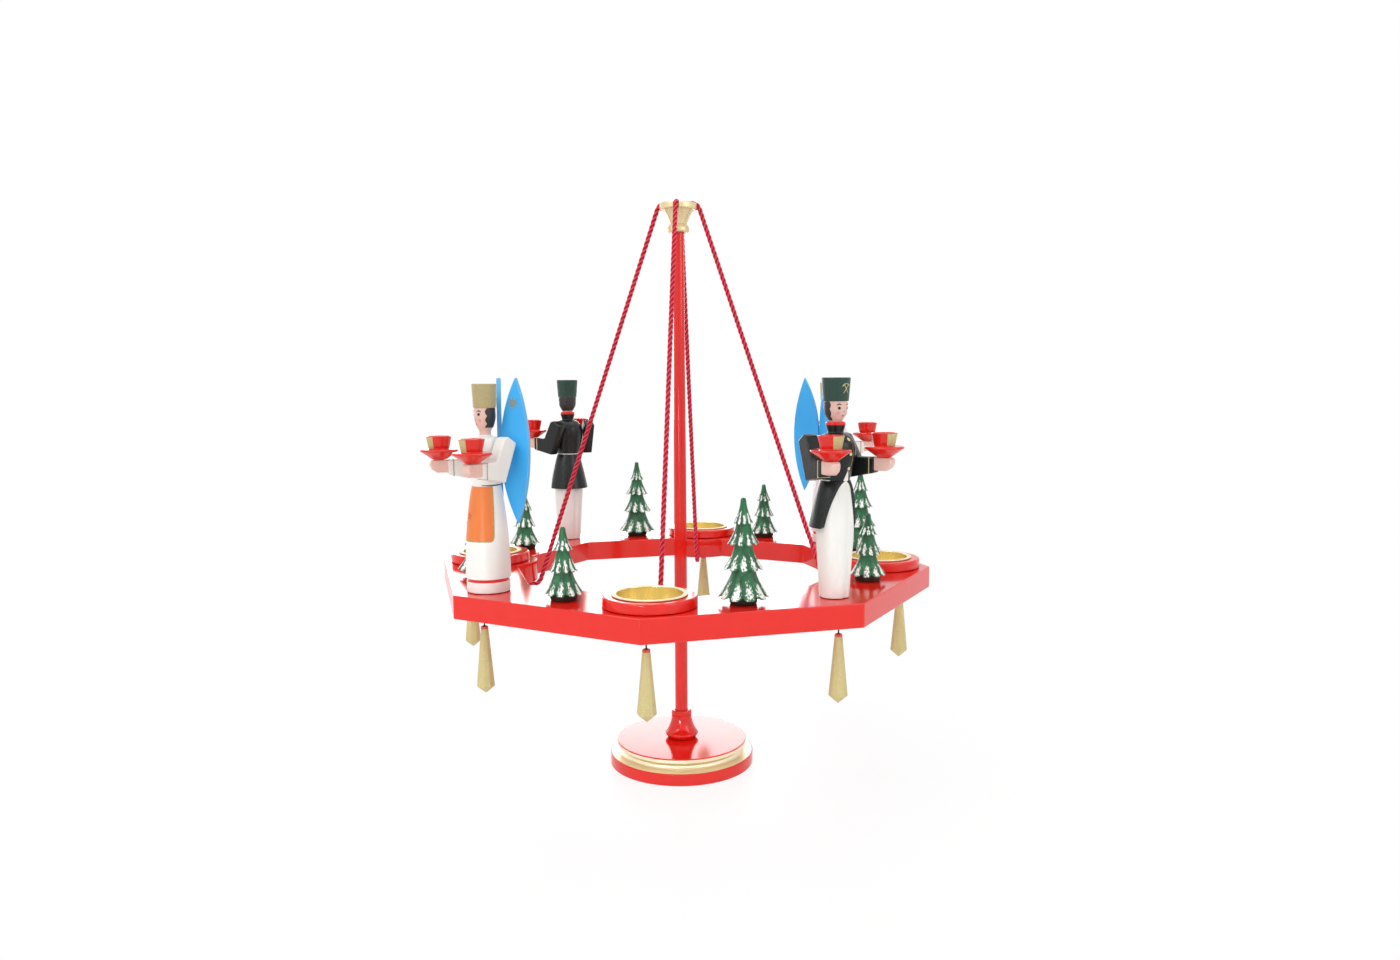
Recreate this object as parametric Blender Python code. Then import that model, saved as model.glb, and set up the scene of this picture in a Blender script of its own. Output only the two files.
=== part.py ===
"""Advent candle holder, modelled in metres with +Z up.

A turned stand carries a gilded crown. Four cords hang from the crown and hold an octagonal ring
with a tea light at every second corner. Two angels and two miners stand on the other corners and
hold candle cups, small fir trees stand between them, and a gilded drop hangs under every corner.
The origin is the centre of the base's underside, and the front tea light lies towards -Y.
An azimuth is counted from the front towards +X.
"""

import bmesh
import bpy
import math
from mathutils import Matrix, Vector

# Fits
SEAT_GAP = 0.0003
MERGE = 0.00001

# Stand
BASE_RADIUS = 0.0530
BASE_FOOT_HEIGHT = 0.0084
BASE_COVE_RADIUS = 0.0029
BASE_TOP_RADIUS = 0.0478
BASE_TOP_HEIGHT = 0.0032
BASE_EDGE = 0.0007
COLLAR_FOOT_RADIUS = 0.0116
COLLAR_FOOT_HEIGHT = 0.0034
COLLAR_TOP_RADIUS = 0.0073
COLLAR_TOP_HEIGHT = 0.0034
COLLAR_HEIGHT = 0.0203
POST_RADIUS = 0.00465
POST_TIP_RADIUS = 0.0039
POST_SOCKET_DEPTH = 0.0100

# Crown
CROWN_UNDERSIDE_Z = 0.3875
CROWN_HEIGHT = 0.0200
CROWN_SOCKET_DEPTH = 0.0088
CROWN_BEAD_RADIUS = 0.0078
CROWN_BEAD_HEIGHT = 0.0032
CROWN_NECK_RADIUS = 0.0057
CROWN_NECK_HEIGHT = 0.0058
CROWN_CONE_RADIUS = 0.0100
CROWN_RIM_RADIUS = 0.0135
CROWN_RIM_HEIGHT = 0.0043
CROWN_DISH_RADIUS = 0.0086
CROWN_DISH_DEPTH = 0.0039

# Cords: a route point over the crown is its distance from the stand's axis and its height
# above the crown's top. A point at the ring is its distance outside the lobe's inner edge and
# its height above the ring's underside.
CORD_DIAMETER = 0.0032
CORD_HOLE_CLEARANCE = 0.0005
CORD_SWAY_CLEARANCE = 0.0005
CORD_CROWN_ROUTE = (
    (0.0052, 0.00025),
    (0.0074, 0.00025),
    (0.0093, 0.00025),
    (0.0112, -0.00005),
    (0.0130, -0.00090),
    (0.0144, -0.00230),
    (0.0153, -0.00410),
    (0.0180, -0.01210),
)
CORD_RING_ROUTE = (
    (-0.0062, 0.00963),
    (-0.0035, 0.00163),
    (-0.0023, -0.00042),
    (-0.0003, -0.00201),
    (0.0021, -0.00269),
    (0.0047, -0.00236),
    (0.0063, -0.00149),
    (0.0076, -0.00025),
    (0.0107, 0.00370),
)
CORD_BEND_SAMPLES = 1
CORD_RUN_SAMPLES = 5
KNOT_HEIGHT = 0.0052

# Octagonal ring
RING_UNDERSIDE_Z = 0.1338
RING_THICKNESS = 0.0151
RING_CORNER_RADIUS = 0.1800
RING_BREADTH = 0.0540
CORNERS = 8

# Tea lights: an inset is counted inwards from the ring's corner circle
TEALIGHT_INSET = 0.0360
TEALIGHT_RING_RADIUS = 0.0287
TEALIGHT_RING_HEIGHT = 0.0064
TEALIGHT_RING_EDGE = 0.0009
LOBE_INSET = 0.0430
LOBE_RADIUS = 0.0280
INSERT_RADIUS = 0.0200
INSERT_DEPTH = 0.0120
INSERT_WALL = 0.0006
INSERT_RIM_WIDTH = 0.0024

# Fir trees
TREE_INSET = 0.0360
TREE_LARGE_TIERS = (0.0153, 0.0124, 0.0149, 0.0171)
TREE_LARGE_HEMS = (0.0058, 0.0095, 0.0118, 0.0155)
TREE_SMALL_TIERS = (0.0141, 0.0130, 0.0139)
TREE_SMALL_HEMS = (0.0060, 0.0086, 0.0120)
TREE_STUMP_HEIGHT = 0.0040
TREE_STUMP_RADIUS = 0.0085
TREE_HEM_NOTCH = 0.0012
TREE_TIP_RADIUS = 0.0017
TREE_TIP_HEIGHT = 0.0012
TREE_BOUGHS = 7

# Drops that hang under the corners
DROP_INSET = 0.0210
DROP_LENGTH = 0.0440
DROP_TIP_LENGTH = 0.0052
DROP_TOP_RADIUS = 0.0024
DROP_RADIUS = 0.0060
DROP_WIRE_LENGTH = 0.0076
DROP_WIRE_RADIUS = 0.0005
DROP_SIDES = 8

# Figures: heights are counted from the top of the ring
FIGURE_INSET = 0.0248
ARM_THICKNESS = 0.0080
ARM_SPLAY = math.radians(17)
ARM_FOREARM_HEIGHT = 0.0095
ARM_RISE = 0.0040
ARM_UPPER_WIDTH = 0.0100
ARM_HAND_LENGTH = 0.0120
ARM_EDGE = 0.0008
CUP_RADIUS = 0.0079
CUP_HEIGHT = 0.0082
CUP_CANDLE_RADIUS = 0.0067
CUP_BORE_DEPTH = 0.0070
CUP_WALL = 0.0011
CUP_SAUCER_RADIUS = 0.0123
CUP_SAUCER_HEIGHT = 0.0066
CUP_PEG_RADIUS = 0.0045

# Angel
ANGEL_FOOT_RADIUS = 0.01375
ANGEL_FOOT_HEIGHT = 0.0072
ANGEL_HEM_RADIUS = 0.0142
ANGEL_WAIST_RADIUS = 0.0089
ANGEL_WAIST_HEIGHT = 0.0680
ANGEL_CHEST_RADIUS = 0.0118
ANGEL_SHOULDER_HEIGHT = 0.0990
ANGEL_NECK_RADIUS = 0.0036
ANGEL_HEAD_RADIUS = 0.0067
ANGEL_HEAD_HEIGHT = 0.0150
ANGEL_HAT_RADIUS = 0.0078
ANGEL_HAT_HEIGHT = 0.0150
ANGEL_HAND_HEIGHT = 0.0841
ANGEL_REACH = 0.0266
WING_HEIGHT = 0.0928
WING_TIP_HEIGHT = 0.0430
WING_THICKNESS = 0.0030
WING_OUTER_BULGE = 0.0090
WING_INNER_BULGE = 0.0121
WING_SPREAD = math.radians(62)
WING_SEAT_DISTANCE = 0.0090

# Miner
MINER_FOOT_RADIUS = 0.0092
MINER_LEG_RADIUS = 0.0119
MINER_WAIST_RADIUS = 0.0087
MINER_WAIST_HEIGHT = 0.0720
MINER_CHEST_RADIUS = 0.0126
MINER_SHOULDER_HEIGHT = 0.1008
MINER_COLLAR_RADIUS = 0.0060
MINER_COLLAR_HEIGHT = 0.0066
MINER_NECK_RADIUS = 0.0038
MINER_HEAD_RADIUS = 0.0071
MINER_HEAD_HEIGHT = 0.0128
MINER_HAT_RADIUS = 0.0089
MINER_HAT_HEIGHT = 0.0142
MINER_HAND_HEIGHT = 0.0864
MINER_REACH = 0.0245
COAT_HEM_RADIUS = 0.0160
COAT_LENGTH = 0.0280
COAT_FRONT_AT_HEM = 0.0020

# Facets around a full turn
SIDES_LARGE = 32
SIDES_MEDIUM = 24
SIDES_SMALL = 16
SIDES_CUP = 14

# Sizes that follow from those above
BASE_HEIGHT = BASE_FOOT_HEIGHT + 2 * BASE_COVE_RADIUS + BASE_TOP_HEIGHT
RING_TOP_Z = RING_UNDERSIDE_Z + RING_THICKNESS
CROWN_TOP_Z = CROWN_UNDERSIDE_Z + CROWN_HEIGHT
CORD_RADIUS = CORD_DIAMETER / 2
RING_INNER_CORNER_RADIUS = RING_CORNER_RADIUS - RING_BREADTH
TEALIGHT_STATION = RING_CORNER_RADIUS - TEALIGHT_INSET
LOBE_STATION = RING_CORNER_RADIUS - LOBE_INSET
TREE_STATION = RING_CORNER_RADIUS - TREE_INSET
DROP_STATION = RING_CORNER_RADIUS - DROP_INSET
FIGURE_STATION = RING_CORNER_RADIUS - FIGURE_INSET
LOBE_EDGE = LOBE_STATION - LOBE_RADIUS
CORD_ROUTE = (
    *((radius, CROWN_TOP_Z + rise) for radius, rise in CORD_CROWN_ROUTE),
    *((LOBE_EDGE + inset, RING_UNDERSIDE_Z + rise) for inset, rise in CORD_RING_ROUTE),
)
INSERT_OUTER_RADIUS = INSERT_RADIUS + INSERT_WALL
QUARTERS = {"front": 0, "right": math.pi / 2, "back": math.pi, "left": 3 * math.pi / 2}


def finish(name, colour, roughness, metallic=0.0):
    """A plain surface finish."""
    material = bpy.data.materials.new(name)
    material.use_nodes = True
    shader = material.node_tree.nodes["Principled BSDF"]
    shader.inputs["Base Color"].default_value = (*colour, 1)
    shader.inputs["Roughness"].default_value = roughness
    shader.inputs["Metallic"].default_value = metallic
    return material


def make_finishes():
    return {
        "red lacquer": finish("red lacquer", (0.72, 0.02, 0.02), 0.15),
        "gold paint": finish("gold paint", (0.66, 0.52, 0.26), 0.45, 0.3),
        "brass": finish("brass", (0.80, 0.62, 0.22), 0.25, 1.0),
        "crimson cord": finish("crimson cord", (0.48, 0.02, 0.06), 0.8),
        "fir green": finish("fir green", (0.03, 0.20, 0.08), 0.5),
        "white paint": finish("white paint", (0.85, 0.84, 0.80), 0.3),
        "black paint": finish("black paint", (0.02, 0.025, 0.022), 0.3),
        "skin paint": finish("skin paint", (0.80, 0.50, 0.42), 0.4),
        "blue paint": finish("blue paint", (0.03, 0.25, 0.68), 0.3),
    }


def add_object(name, mesh, material, parent=None):
    """Turns a bmesh into a named object with outward faces and smooth round sides."""
    bmesh.ops.remove_doubles(mesh, verts=mesh.verts, dist=MERGE)
    bmesh.ops.recalc_face_normals(mesh, faces=mesh.faces)
    data = bpy.data.meshes.new(name)
    mesh.to_mesh(data)
    mesh.free()
    data.shade_smooth()
    data.set_sharp_from_angle(angle=math.radians(35))
    piece = bpy.data.objects.new(name, data)
    data.materials.append(material)
    bpy.context.scene.collection.objects.link(piece)
    piece.parent = parent
    return piece


def add_empty(name, location=(0, 0, 0), turn=0.0, parent=None):
    """A frame for the pieces of one station, turned about the vertical."""
    empty = bpy.data.objects.new(name, None)
    empty.location = location
    empty.rotation_euler = (0, 0, turn)
    empty.parent = parent
    bpy.context.scene.collection.objects.link(empty)
    return empty


def around(radius, azimuth, height=0.0):
    """A point at a distance from the stand's axis."""
    return Vector((radius * math.sin(azimuth), -radius * math.cos(azimuth), height))


def arc(centre, radius, start, end, steps):
    """Points along an arc, with angles in degrees counted from the first axis."""
    angles = [math.radians(start + (end - start) * i / steps) for i in range(steps + 1)]
    return [(centre[0] + radius * math.cos(a), centre[1] + radius * math.sin(a)) for a in angles]


def turned(name, outline, sides, material, parent=None, hollow=False):
    """A turned piece: an outline of (radius, height) points spun about the vertical axis.
    A hollow outline is a closed loop away from the axis."""
    mesh = bmesh.new()
    points = [mesh.verts.new((radius, 0, height)) for radius, height in outline]
    edges = [mesh.edges.new(pair) for pair in zip(points, points[1:])]
    if hollow:
        edges.append(mesh.edges.new((points[-1], points[0])))
    bmesh.ops.spin(
        mesh,
        geom=points + edges,
        cent=(0, 0, 0),
        axis=(0, 0, 1),
        angle=2 * math.pi,
        steps=sides,
        use_merge=True,
    )
    return add_object(name, mesh, material, parent)


def sawn(name, outline, thickness, material, parent=None, edge=0.0):
    """A flat board: an outline of (x, z) points in the middle plane, with broken edges."""
    mesh = bmesh.new()
    face = mesh.faces.new([mesh.verts.new((x, -thickness / 2, z)) for x, z in outline])
    grown = bmesh.ops.extrude_face_region(mesh, geom=[face])["geom"]
    moved = [part for part in grown if isinstance(part, bmesh.types.BMVert)]
    bmesh.ops.translate(mesh, vec=(0, thickness, 0), verts=moved)
    board = add_object(name, mesh, material, parent)
    if edge:
        bevel = board.modifiers.new("broken edges", "BEVEL")
        bevel.width = edge
        bevel.segments = 1
        bevel.limit_method = "ANGLE"
        bevel.angle_limit = math.radians(50)
    return board


def as_cutter(piece):
    """Marks a shape that only cuts or joins another."""
    piece.hide_render = True
    piece.display_type = "WIRE"
    return piece


def combine(piece, tool, operation):
    boolean = piece.modifiers.new(f"{operation.lower()} {tool.name}", "BOOLEAN")
    boolean.operation = operation
    boolean.solver = "EXACT"
    boolean.object = as_cutter(tool)


def block(name, low, high, material, parent=None):
    """A box between two corners, used as a cutter."""
    mesh = bmesh.new()
    bmesh.ops.create_cube(mesh, size=1)
    size = Vector(high) - Vector(low)
    middle = (Vector(high) + Vector(low)) / 2
    bmesh.ops.transform(mesh, matrix=Matrix.Translation(middle) @ Matrix.Diagonal(size).to_4x4(),
                        verts=mesh.verts)
    return add_object(name, mesh, material, parent)


def make_base(material):
    """Two discs with a cove between them, and a socket for the post."""
    neck = BASE_TOP_RADIUS - BASE_COVE_RADIUS / 3
    cove = arc((neck, BASE_FOOT_HEIGHT + BASE_COVE_RADIUS), BASE_COVE_RADIUS, 270, 90, 4)
    socket = POST_RADIUS + SEAT_GAP
    floor = BASE_HEIGHT - POST_SOCKET_DEPTH
    outline = [
        (0, 0),
        (BASE_RADIUS - BASE_EDGE, 0),
        (BASE_RADIUS, BASE_EDGE),
        (BASE_RADIUS, BASE_FOOT_HEIGHT - BASE_EDGE),
        (BASE_RADIUS - BASE_EDGE, BASE_FOOT_HEIGHT),
        *cove,
        (BASE_TOP_RADIUS, BASE_HEIGHT - BASE_TOP_HEIGHT + BASE_EDGE),
        (BASE_TOP_RADIUS, BASE_HEIGHT - BASE_EDGE),
        (BASE_TOP_RADIUS - BASE_EDGE, BASE_HEIGHT),
        (socket, BASE_HEIGHT),
        (socket, floor),
        (0, floor),
    ]
    return turned("base_disc", outline, SIDES_LARGE, material)


def make_collar(material):
    """The flared collar round the foot of the post."""
    seat = BASE_HEIGHT + SEAT_GAP
    top = seat + COLLAR_HEIGHT
    bore = POST_RADIUS + SEAT_GAP
    foot = seat + COLLAR_FOOT_HEIGHT
    throat = top - COLLAR_TOP_HEIGHT
    throat_radius = COLLAR_TOP_RADIUS - BASE_EDGE
    flare = []
    for step in range(5):
        rise = step / 4
        sweep = (1 - rise) ** 1.25
        flare.append((
            throat_radius + (COLLAR_FOOT_RADIUS - throat_radius) * sweep,
            foot + (throat - foot) * rise,
        ))
    outline = [
        (bore, seat),
        (COLLAR_FOOT_RADIUS - 3 * BASE_EDGE, seat),
        (COLLAR_FOOT_RADIUS, foot - BASE_EDGE),
        *flare,
        (COLLAR_TOP_RADIUS, throat + BASE_EDGE),
        (COLLAR_TOP_RADIUS, top - BASE_EDGE),
        (COLLAR_TOP_RADIUS - BASE_EDGE, top),
        (bore, top),
    ]
    return turned("foot_collar", outline, SIDES_MEDIUM, material, hollow=True)


def make_post(material):
    """The tapered post, from its socket in the base to the crown that sits on its tip."""
    bottom = BASE_HEIGHT - POST_SOCKET_DEPTH + SEAT_GAP
    tip = CROWN_UNDERSIDE_Z + CROWN_SOCKET_DEPTH - SEAT_GAP
    straight = BASE_HEIGHT + COLLAR_HEIGHT + RING_UNDERSIDE_Z
    slim = CROWN_UNDERSIDE_Z - CROWN_HEIGHT / 2
    outline = [
        (0, bottom),
        (POST_RADIUS - BASE_EDGE, bottom),
        (POST_RADIUS, bottom + BASE_EDGE),
        (POST_RADIUS, straight),
        (POST_TIP_RADIUS, slim),
        (POST_TIP_RADIUS, tip - BASE_EDGE),
        (POST_TIP_RADIUS - BASE_EDGE, tip),
        (0, tip),
    ]
    return turned("post", outline, SIDES_SMALL, material)


def make_crown(material, pivot):
    """A turned crown with a dished top and a notch in its rim for each cord."""
    bore = POST_TIP_RADIUS + SEAT_GAP
    base = CROWN_UNDERSIDE_Z
    roof = base + CROWN_SOCKET_DEPTH
    bead = base + CROWN_BEAD_HEIGHT
    neck = base + CROWN_NECK_HEIGHT
    rim = CROWN_TOP_Z - CROWN_RIM_HEIGHT
    dish = CROWN_TOP_Z - CROWN_DISH_DEPTH
    cone = []
    for step in range(4):
        rise = step / 3
        cone.append((
            CROWN_NECK_RADIUS + (CROWN_CONE_RADIUS - CROWN_NECK_RADIUS) * rise ** 1.3,
            neck + (rim - neck) * rise,
        ))
    outline = [
        (0, roof),
        (bore, roof),
        (bore, base),
        (CROWN_BEAD_RADIUS - BASE_EDGE, base),
        (CROWN_BEAD_RADIUS, base + BASE_EDGE),
        (CROWN_BEAD_RADIUS, bead - BASE_EDGE),
        (CROWN_BEAD_RADIUS - BASE_EDGE, bead),
        *cone,
        (CROWN_RIM_RADIUS - BASE_EDGE, rim),
        (CROWN_RIM_RADIUS, rim + BASE_EDGE),
        (CROWN_RIM_RADIUS, CROWN_TOP_Z - BASE_EDGE),
        (CROWN_RIM_RADIUS - BASE_EDGE, CROWN_TOP_Z),
        (CROWN_DISH_RADIUS, CROWN_TOP_Z),
        (CROWN_DISH_RADIUS, dish),
        (0, dish),
    ]
    crown = turned("crown", outline, SIDES_MEDIUM, material, pivot)
    width = CORD_DIAMETER + 2 * CORD_SWAY_CLEARANCE
    shelf = dish + CROWN_DISH_DEPTH / 3
    slope = CROWN_DISH_RADIUS + CORD_RADIUS
    below = rim - SEAT_GAP
    above = CROWN_TOP_Z + CROWN_RIM_HEIGHT
    notch = [
        (CROWN_DISH_RADIUS - CORD_RADIUS, shelf),
        (slope, shelf),
        (CROWN_RIM_RADIUS - CORD_RADIUS / 2, below),
        (CROWN_RIM_RADIUS + CORD_RADIUS, below),
        (CROWN_RIM_RADIUS + CORD_RADIUS, above),
        (CROWN_DISH_RADIUS - CORD_RADIUS, above),
    ]
    for side, azimuth in QUARTERS.items():
        cutter = sawn(f"notch_{side}", notch, width, material, pivot)
        cutter.rotation_euler = (0, 0, azimuth - math.pi / 2)
        combine(crown, cutter, "DIFFERENCE")
    return crown


def make_knot(material, pivot):
    """The knot in the crown's dish that ties the cords together."""
    radius = CORD_ROUTE[0][0] - 2 * SEAT_GAP
    floor = CROWN_TOP_Z - CROWN_DISH_DEPTH + SEAT_GAP
    top = floor + KNOT_HEIGHT
    outline = [
        (0, floor),
        (radius * 0.6, floor),
        (radius, floor + KNOT_HEIGHT * 0.3),
        (radius, top - KNOT_HEIGHT * 0.3),
        (radius * 0.6, top),
        (0, top),
    ]
    return turned("cord_knot", outline, SIDES_CUP, material, pivot)


def smooth_route(route):
    """Points on a smooth curve through a cord's route, with more of them on the long run."""
    line = []
    ends = [route[0], *route, route[-1]]
    for before, start, end, after in zip(ends, ends[1:], ends[2:], ends[3:]):
        a, b, c, d = (Vector(p) for p in (before, start, end, after))
        run = (c - b).length
        straight = run > 20 * CORD_DIAMETER
        samples = CORD_RUN_SAMPLES if straight else CORD_BEND_SAMPLES
        leave = (c - a).normalized() * run
        arrive = (d - b).normalized() * run
        for step in range(samples):
            t = step / samples
            line.append(
                b * (2 * t**3 - 3 * t**2 + 1)
                + leave * (t**3 - 2 * t**2 + t)
                + c * (3 * t**2 - 2 * t**3)
                + arrive * (t**3 - t**2)
            )
    line.append(Vector(route[-1]))
    return line


def make_cord(side, azimuth, material, ring):
    """One cord from the knot over the crown's rim to its hole under the ring."""
    curve = bpy.data.curves.new(f"cord_{side}", "CURVE")
    curve.dimensions = "3D"
    curve.bevel_depth = CORD_RADIUS
    curve.bevel_resolution = 2
    curve.use_fill_caps = True
    line = smooth_route(CORD_ROUTE)
    spline = curve.splines.new("POLY")
    spline.points.add(len(line) - 1)
    for point, (radius, height) in zip(spline.points, line):
        point.co = (*around(radius, azimuth, height), 1)
    cord = bpy.data.objects.new(f"cord_{side}", curve)
    curve.materials.append(material)
    bpy.context.scene.collection.objects.link(cord)
    cord.parent = ring
    return cord


def inner_edge():
    """The ring's inner outline: an octagon with a round lobe under every tea light."""
    points = []
    step = 2 * math.pi / CORNERS
    for corner in range(CORNERS):
        azimuth = corner * step
        if corner % 2:
            points.append(around(RING_INNER_CORNER_RADIUS, azimuth).xy)
            continue
        tip = Vector((RING_INNER_CORNER_RADIUS, 0))
        along = Vector((math.cos(step), math.sin(step))) * RING_INNER_CORNER_RADIUS - tip
        along.normalize()
        centre = Vector((LOBE_STATION, 0))
        foot = (centre - tip).dot(along)
        reach = math.sqrt(LOBE_RADIUS**2 - (centre - tip - along * foot).length_squared)
        meet = tip + along * (foot + reach) - centre
        half = math.degrees(math.atan2(meet.y, meet.x))
        for x, y in arc(centre, LOBE_RADIUS, 360 - half, half, 10):
            turn = Matrix.Rotation(azimuth - math.pi / 2, 2)
            points.append(turn @ Vector((x, y)))
    return points


def make_ring(material, ring):
    """The octagonal board, with pockets for the tea lights and holes for the cords."""
    mesh = bmesh.new()
    outer = [around(RING_CORNER_RADIUS, 2 * math.pi * i / CORNERS).xy for i in range(CORNERS)]
    edges = []
    for loop in (outer, inner_edge()):
        verts = [mesh.verts.new((x, y, RING_TOP_Z)) for x, y in loop]
        edges += [mesh.edges.new((a, b)) for a, b in zip(verts, verts[1:] + verts[:1])]
    bmesh.ops.triangle_fill(mesh, edges=edges, use_beauty=True, normal=(0, 0, 1))
    grown = bmesh.ops.extrude_face_region(mesh, geom=mesh.faces[:])["geom"]
    moved = [part for part in grown if isinstance(part, bmesh.types.BMVert)]
    bmesh.ops.translate(mesh, vec=(0, 0, -RING_THICKNESS), verts=moved)
    board = add_object("octagon_ring", mesh, material, ring)
    rim = RING_TOP_Z + TEALIGHT_RING_HEIGHT + 2 * SEAT_GAP
    floor = rim + INSERT_WALL - INSERT_DEPTH - INSERT_WALL - SEAT_GAP
    radius = INSERT_OUTER_RADIUS + SEAT_GAP
    entry, end = (Vector(p) for p in CORD_ROUTE[-2:])
    for side, azimuth in QUARTERS.items():
        outline = [(0, floor), (radius, floor), (radius, rim), (0, rim)]
        pocket = turned(f"pocket_{side}", outline, SIDES_MEDIUM, material, ring)
        pocket.location = around(TEALIGHT_STATION, azimuth)
        combine(board, pocket, "DIFFERENCE")
        drill = CORD_RADIUS + CORD_HOLE_CLEARANCE
        depth = (end - entry).length + CORD_HOLE_CLEARANCE
        outline = [(0, -drill), (drill, -drill), (drill, depth), (0, depth)]
        hole = turned(f"hole_{side}", outline, SIDES_CUP, material, ring)
        heading = around(*((end - entry).normalized()[0], azimuth), (end - entry).normalized()[1])
        hole.location = around(entry[0], azimuth, entry[1])
        hole.rotation_euler = heading.to_track_quat("Z", "Y").to_euler()
        combine(board, hole, "DIFFERENCE")
    return board


def make_tealight_ring(side, station, material):
    """The turned collar on the board that frames one tea light."""
    bottom = SEAT_GAP
    top = SEAT_GAP + TEALIGHT_RING_HEIGHT
    bore = INSERT_OUTER_RADIUS + SEAT_GAP
    edge = TEALIGHT_RING_EDGE
    outline = [
        (bore, bottom),
        (TEALIGHT_RING_RADIUS - edge, bottom),
        (TEALIGHT_RING_RADIUS, bottom + edge),
        (TEALIGHT_RING_RADIUS, top - edge),
        (TEALIGHT_RING_RADIUS - edge, top),
        (bore, top),
    ]
    return turned(f"tealight_ring_{side}", outline, SIDES_MEDIUM, material, station, hollow=True)


def make_insert(side, station, material):
    """The metal cup for a tea light, which hangs by its rim on the collar and lifts out."""
    seat = TEALIGHT_RING_HEIGHT + 2 * SEAT_GAP
    rim = seat + INSERT_WALL
    floor = rim - INSERT_DEPTH
    outline = [
        (0, floor - INSERT_WALL),
        (INSERT_OUTER_RADIUS, floor - INSERT_WALL),
        (INSERT_OUTER_RADIUS, seat),
        (INSERT_OUTER_RADIUS + INSERT_RIM_WIDTH, seat),
        (INSERT_OUTER_RADIUS + INSERT_RIM_WIDTH, rim),
        (INSERT_RADIUS, rim),
        (INSERT_RADIUS, floor),
        (0, floor),
    ]
    return turned(f"tealight_insert_{side}", outline, SIDES_MEDIUM, material, station)


def tree_rings(tiers, hems):
    """Rings of (radius, height, is a hem) down a fir tree, from its blunt tip to its stump."""
    bottom = TREE_STUMP_HEIGHT + sum(tiers)
    rings = [(TREE_TIP_RADIUS, bottom - TREE_TIP_HEIGHT, False)]
    for number, (tier, hem) in enumerate(zip(tiers, hems)):
        bottom -= tier
        inside = hems[number + 1] * 0.45 if number + 1 < len(hems) else TREE_STUMP_RADIUS
        throat = rings[-1][0]
        rings.append(((throat + hem) * 0.52, bottom + tier * 0.36, False))
        rings.append((hem, bottom + TREE_HEM_NOTCH, True))
        rings.append((inside, bottom + TREE_HEM_NOTCH * 1.5, False))
    rings.append((TREE_STUMP_RADIUS * 0.94, SEAT_GAP, False))
    return rings


def make_tree(name, station, tiers, hems, material):
    """A carved fir tree: flared tiers with a notched hem, on a short stump."""
    mesh = bmesh.new()
    count = 2 * TREE_BOUGHS
    loops = []
    for radius, level, is_hem in tree_rings(tiers, hems):
        loop = []
        for i in range(count):
            angle = 2 * math.pi * i / count
            notch = TREE_HEM_NOTCH if is_hem and i % 2 else 0
            r = radius - notch
            loop.append(mesh.verts.new((r * math.cos(angle), r * math.sin(angle), level + notch / 2)))
        loops.append(loop)
    tip = mesh.verts.new((0, 0, TREE_STUMP_HEIGHT + sum(tiers)))
    for i in range(count):
        mesh.faces.new((tip, loops[0][i], loops[0][(i + 1) % count]))
        for upper, lower in zip(loops, loops[1:]):
            mesh.faces.new((upper[i], lower[i], lower[(i + 1) % count], upper[(i + 1) % count]))
    mesh.faces.new(loops[-1])
    return add_object(name, mesh, material, station)


def make_drop(name, pivot, material):
    """A faceted drop on a short wire. Its pivot is on the underside of the ring."""
    wire_top = -SEAT_GAP
    top = -DROP_WIRE_LENGTH
    belly = top - DROP_LENGTH + DROP_TIP_LENGTH
    outline = [
        (0, wire_top),
        (DROP_WIRE_RADIUS, wire_top),
        (DROP_WIRE_RADIUS, top),
        (DROP_TOP_RADIUS, top),
        (DROP_RADIUS, belly),
        (0, top - DROP_LENGTH),
    ]
    drop = turned(name, outline[::-1], DROP_SIDES, material, pivot)
    drop.data.shade_flat()
    return drop


def make_arm(name, station, side, chest, hand_height, shoulder_height, reach, material):
    """A flat bent arm, seated against the chest. The hand's flat top carries a candle cup.
    The outline's x runs forward along the arm from the point nearest the figure's axis."""
    hand_top = hand_height - SEAT_GAP
    hand_bottom = hand_top - ARM_FOREARM_HEIGHT * 0.88
    elbow_bottom = hand_top - ARM_FOREARM_HEIGHT - ARM_RISE
    hand_end = reach + ARM_HAND_LENGTH / 2
    elbow = reach - 2 * ARM_HAND_LENGTH
    back = elbow - ARM_UPPER_WIDTH
    outline = [
        (elbow, elbow_bottom),
        (hand_end - ARM_HAND_LENGTH, hand_bottom),
        (hand_end - ARM_FOREARM_HEIGHT * 0.3, hand_bottom),
        (hand_end, hand_bottom + ARM_FOREARM_HEIGHT * 0.3),
        (hand_end, hand_top),
        (elbow + ARM_UPPER_WIDTH * 0.75, hand_top),
        (back + ARM_UPPER_WIDTH * 1.05, shoulder_height - ARM_UPPER_WIDTH * 0.1),
        (back + ARM_UPPER_WIDTH * 0.7, shoulder_height),
        (back, shoulder_height - ARM_UPPER_WIDTH * 0.42),
    ]
    arm = sawn(name, outline, ARM_THICKNESS, material, station, ARM_EDGE)
    offset = chest + SEAT_GAP + ARM_THICKNESS / 2
    turn = side * ARM_SPLAY - math.pi / 2
    arm.matrix_local = Matrix.Rotation(turn, 4, "Z") @ Matrix.Translation((0, side * offset, 0))
    return arm


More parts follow.
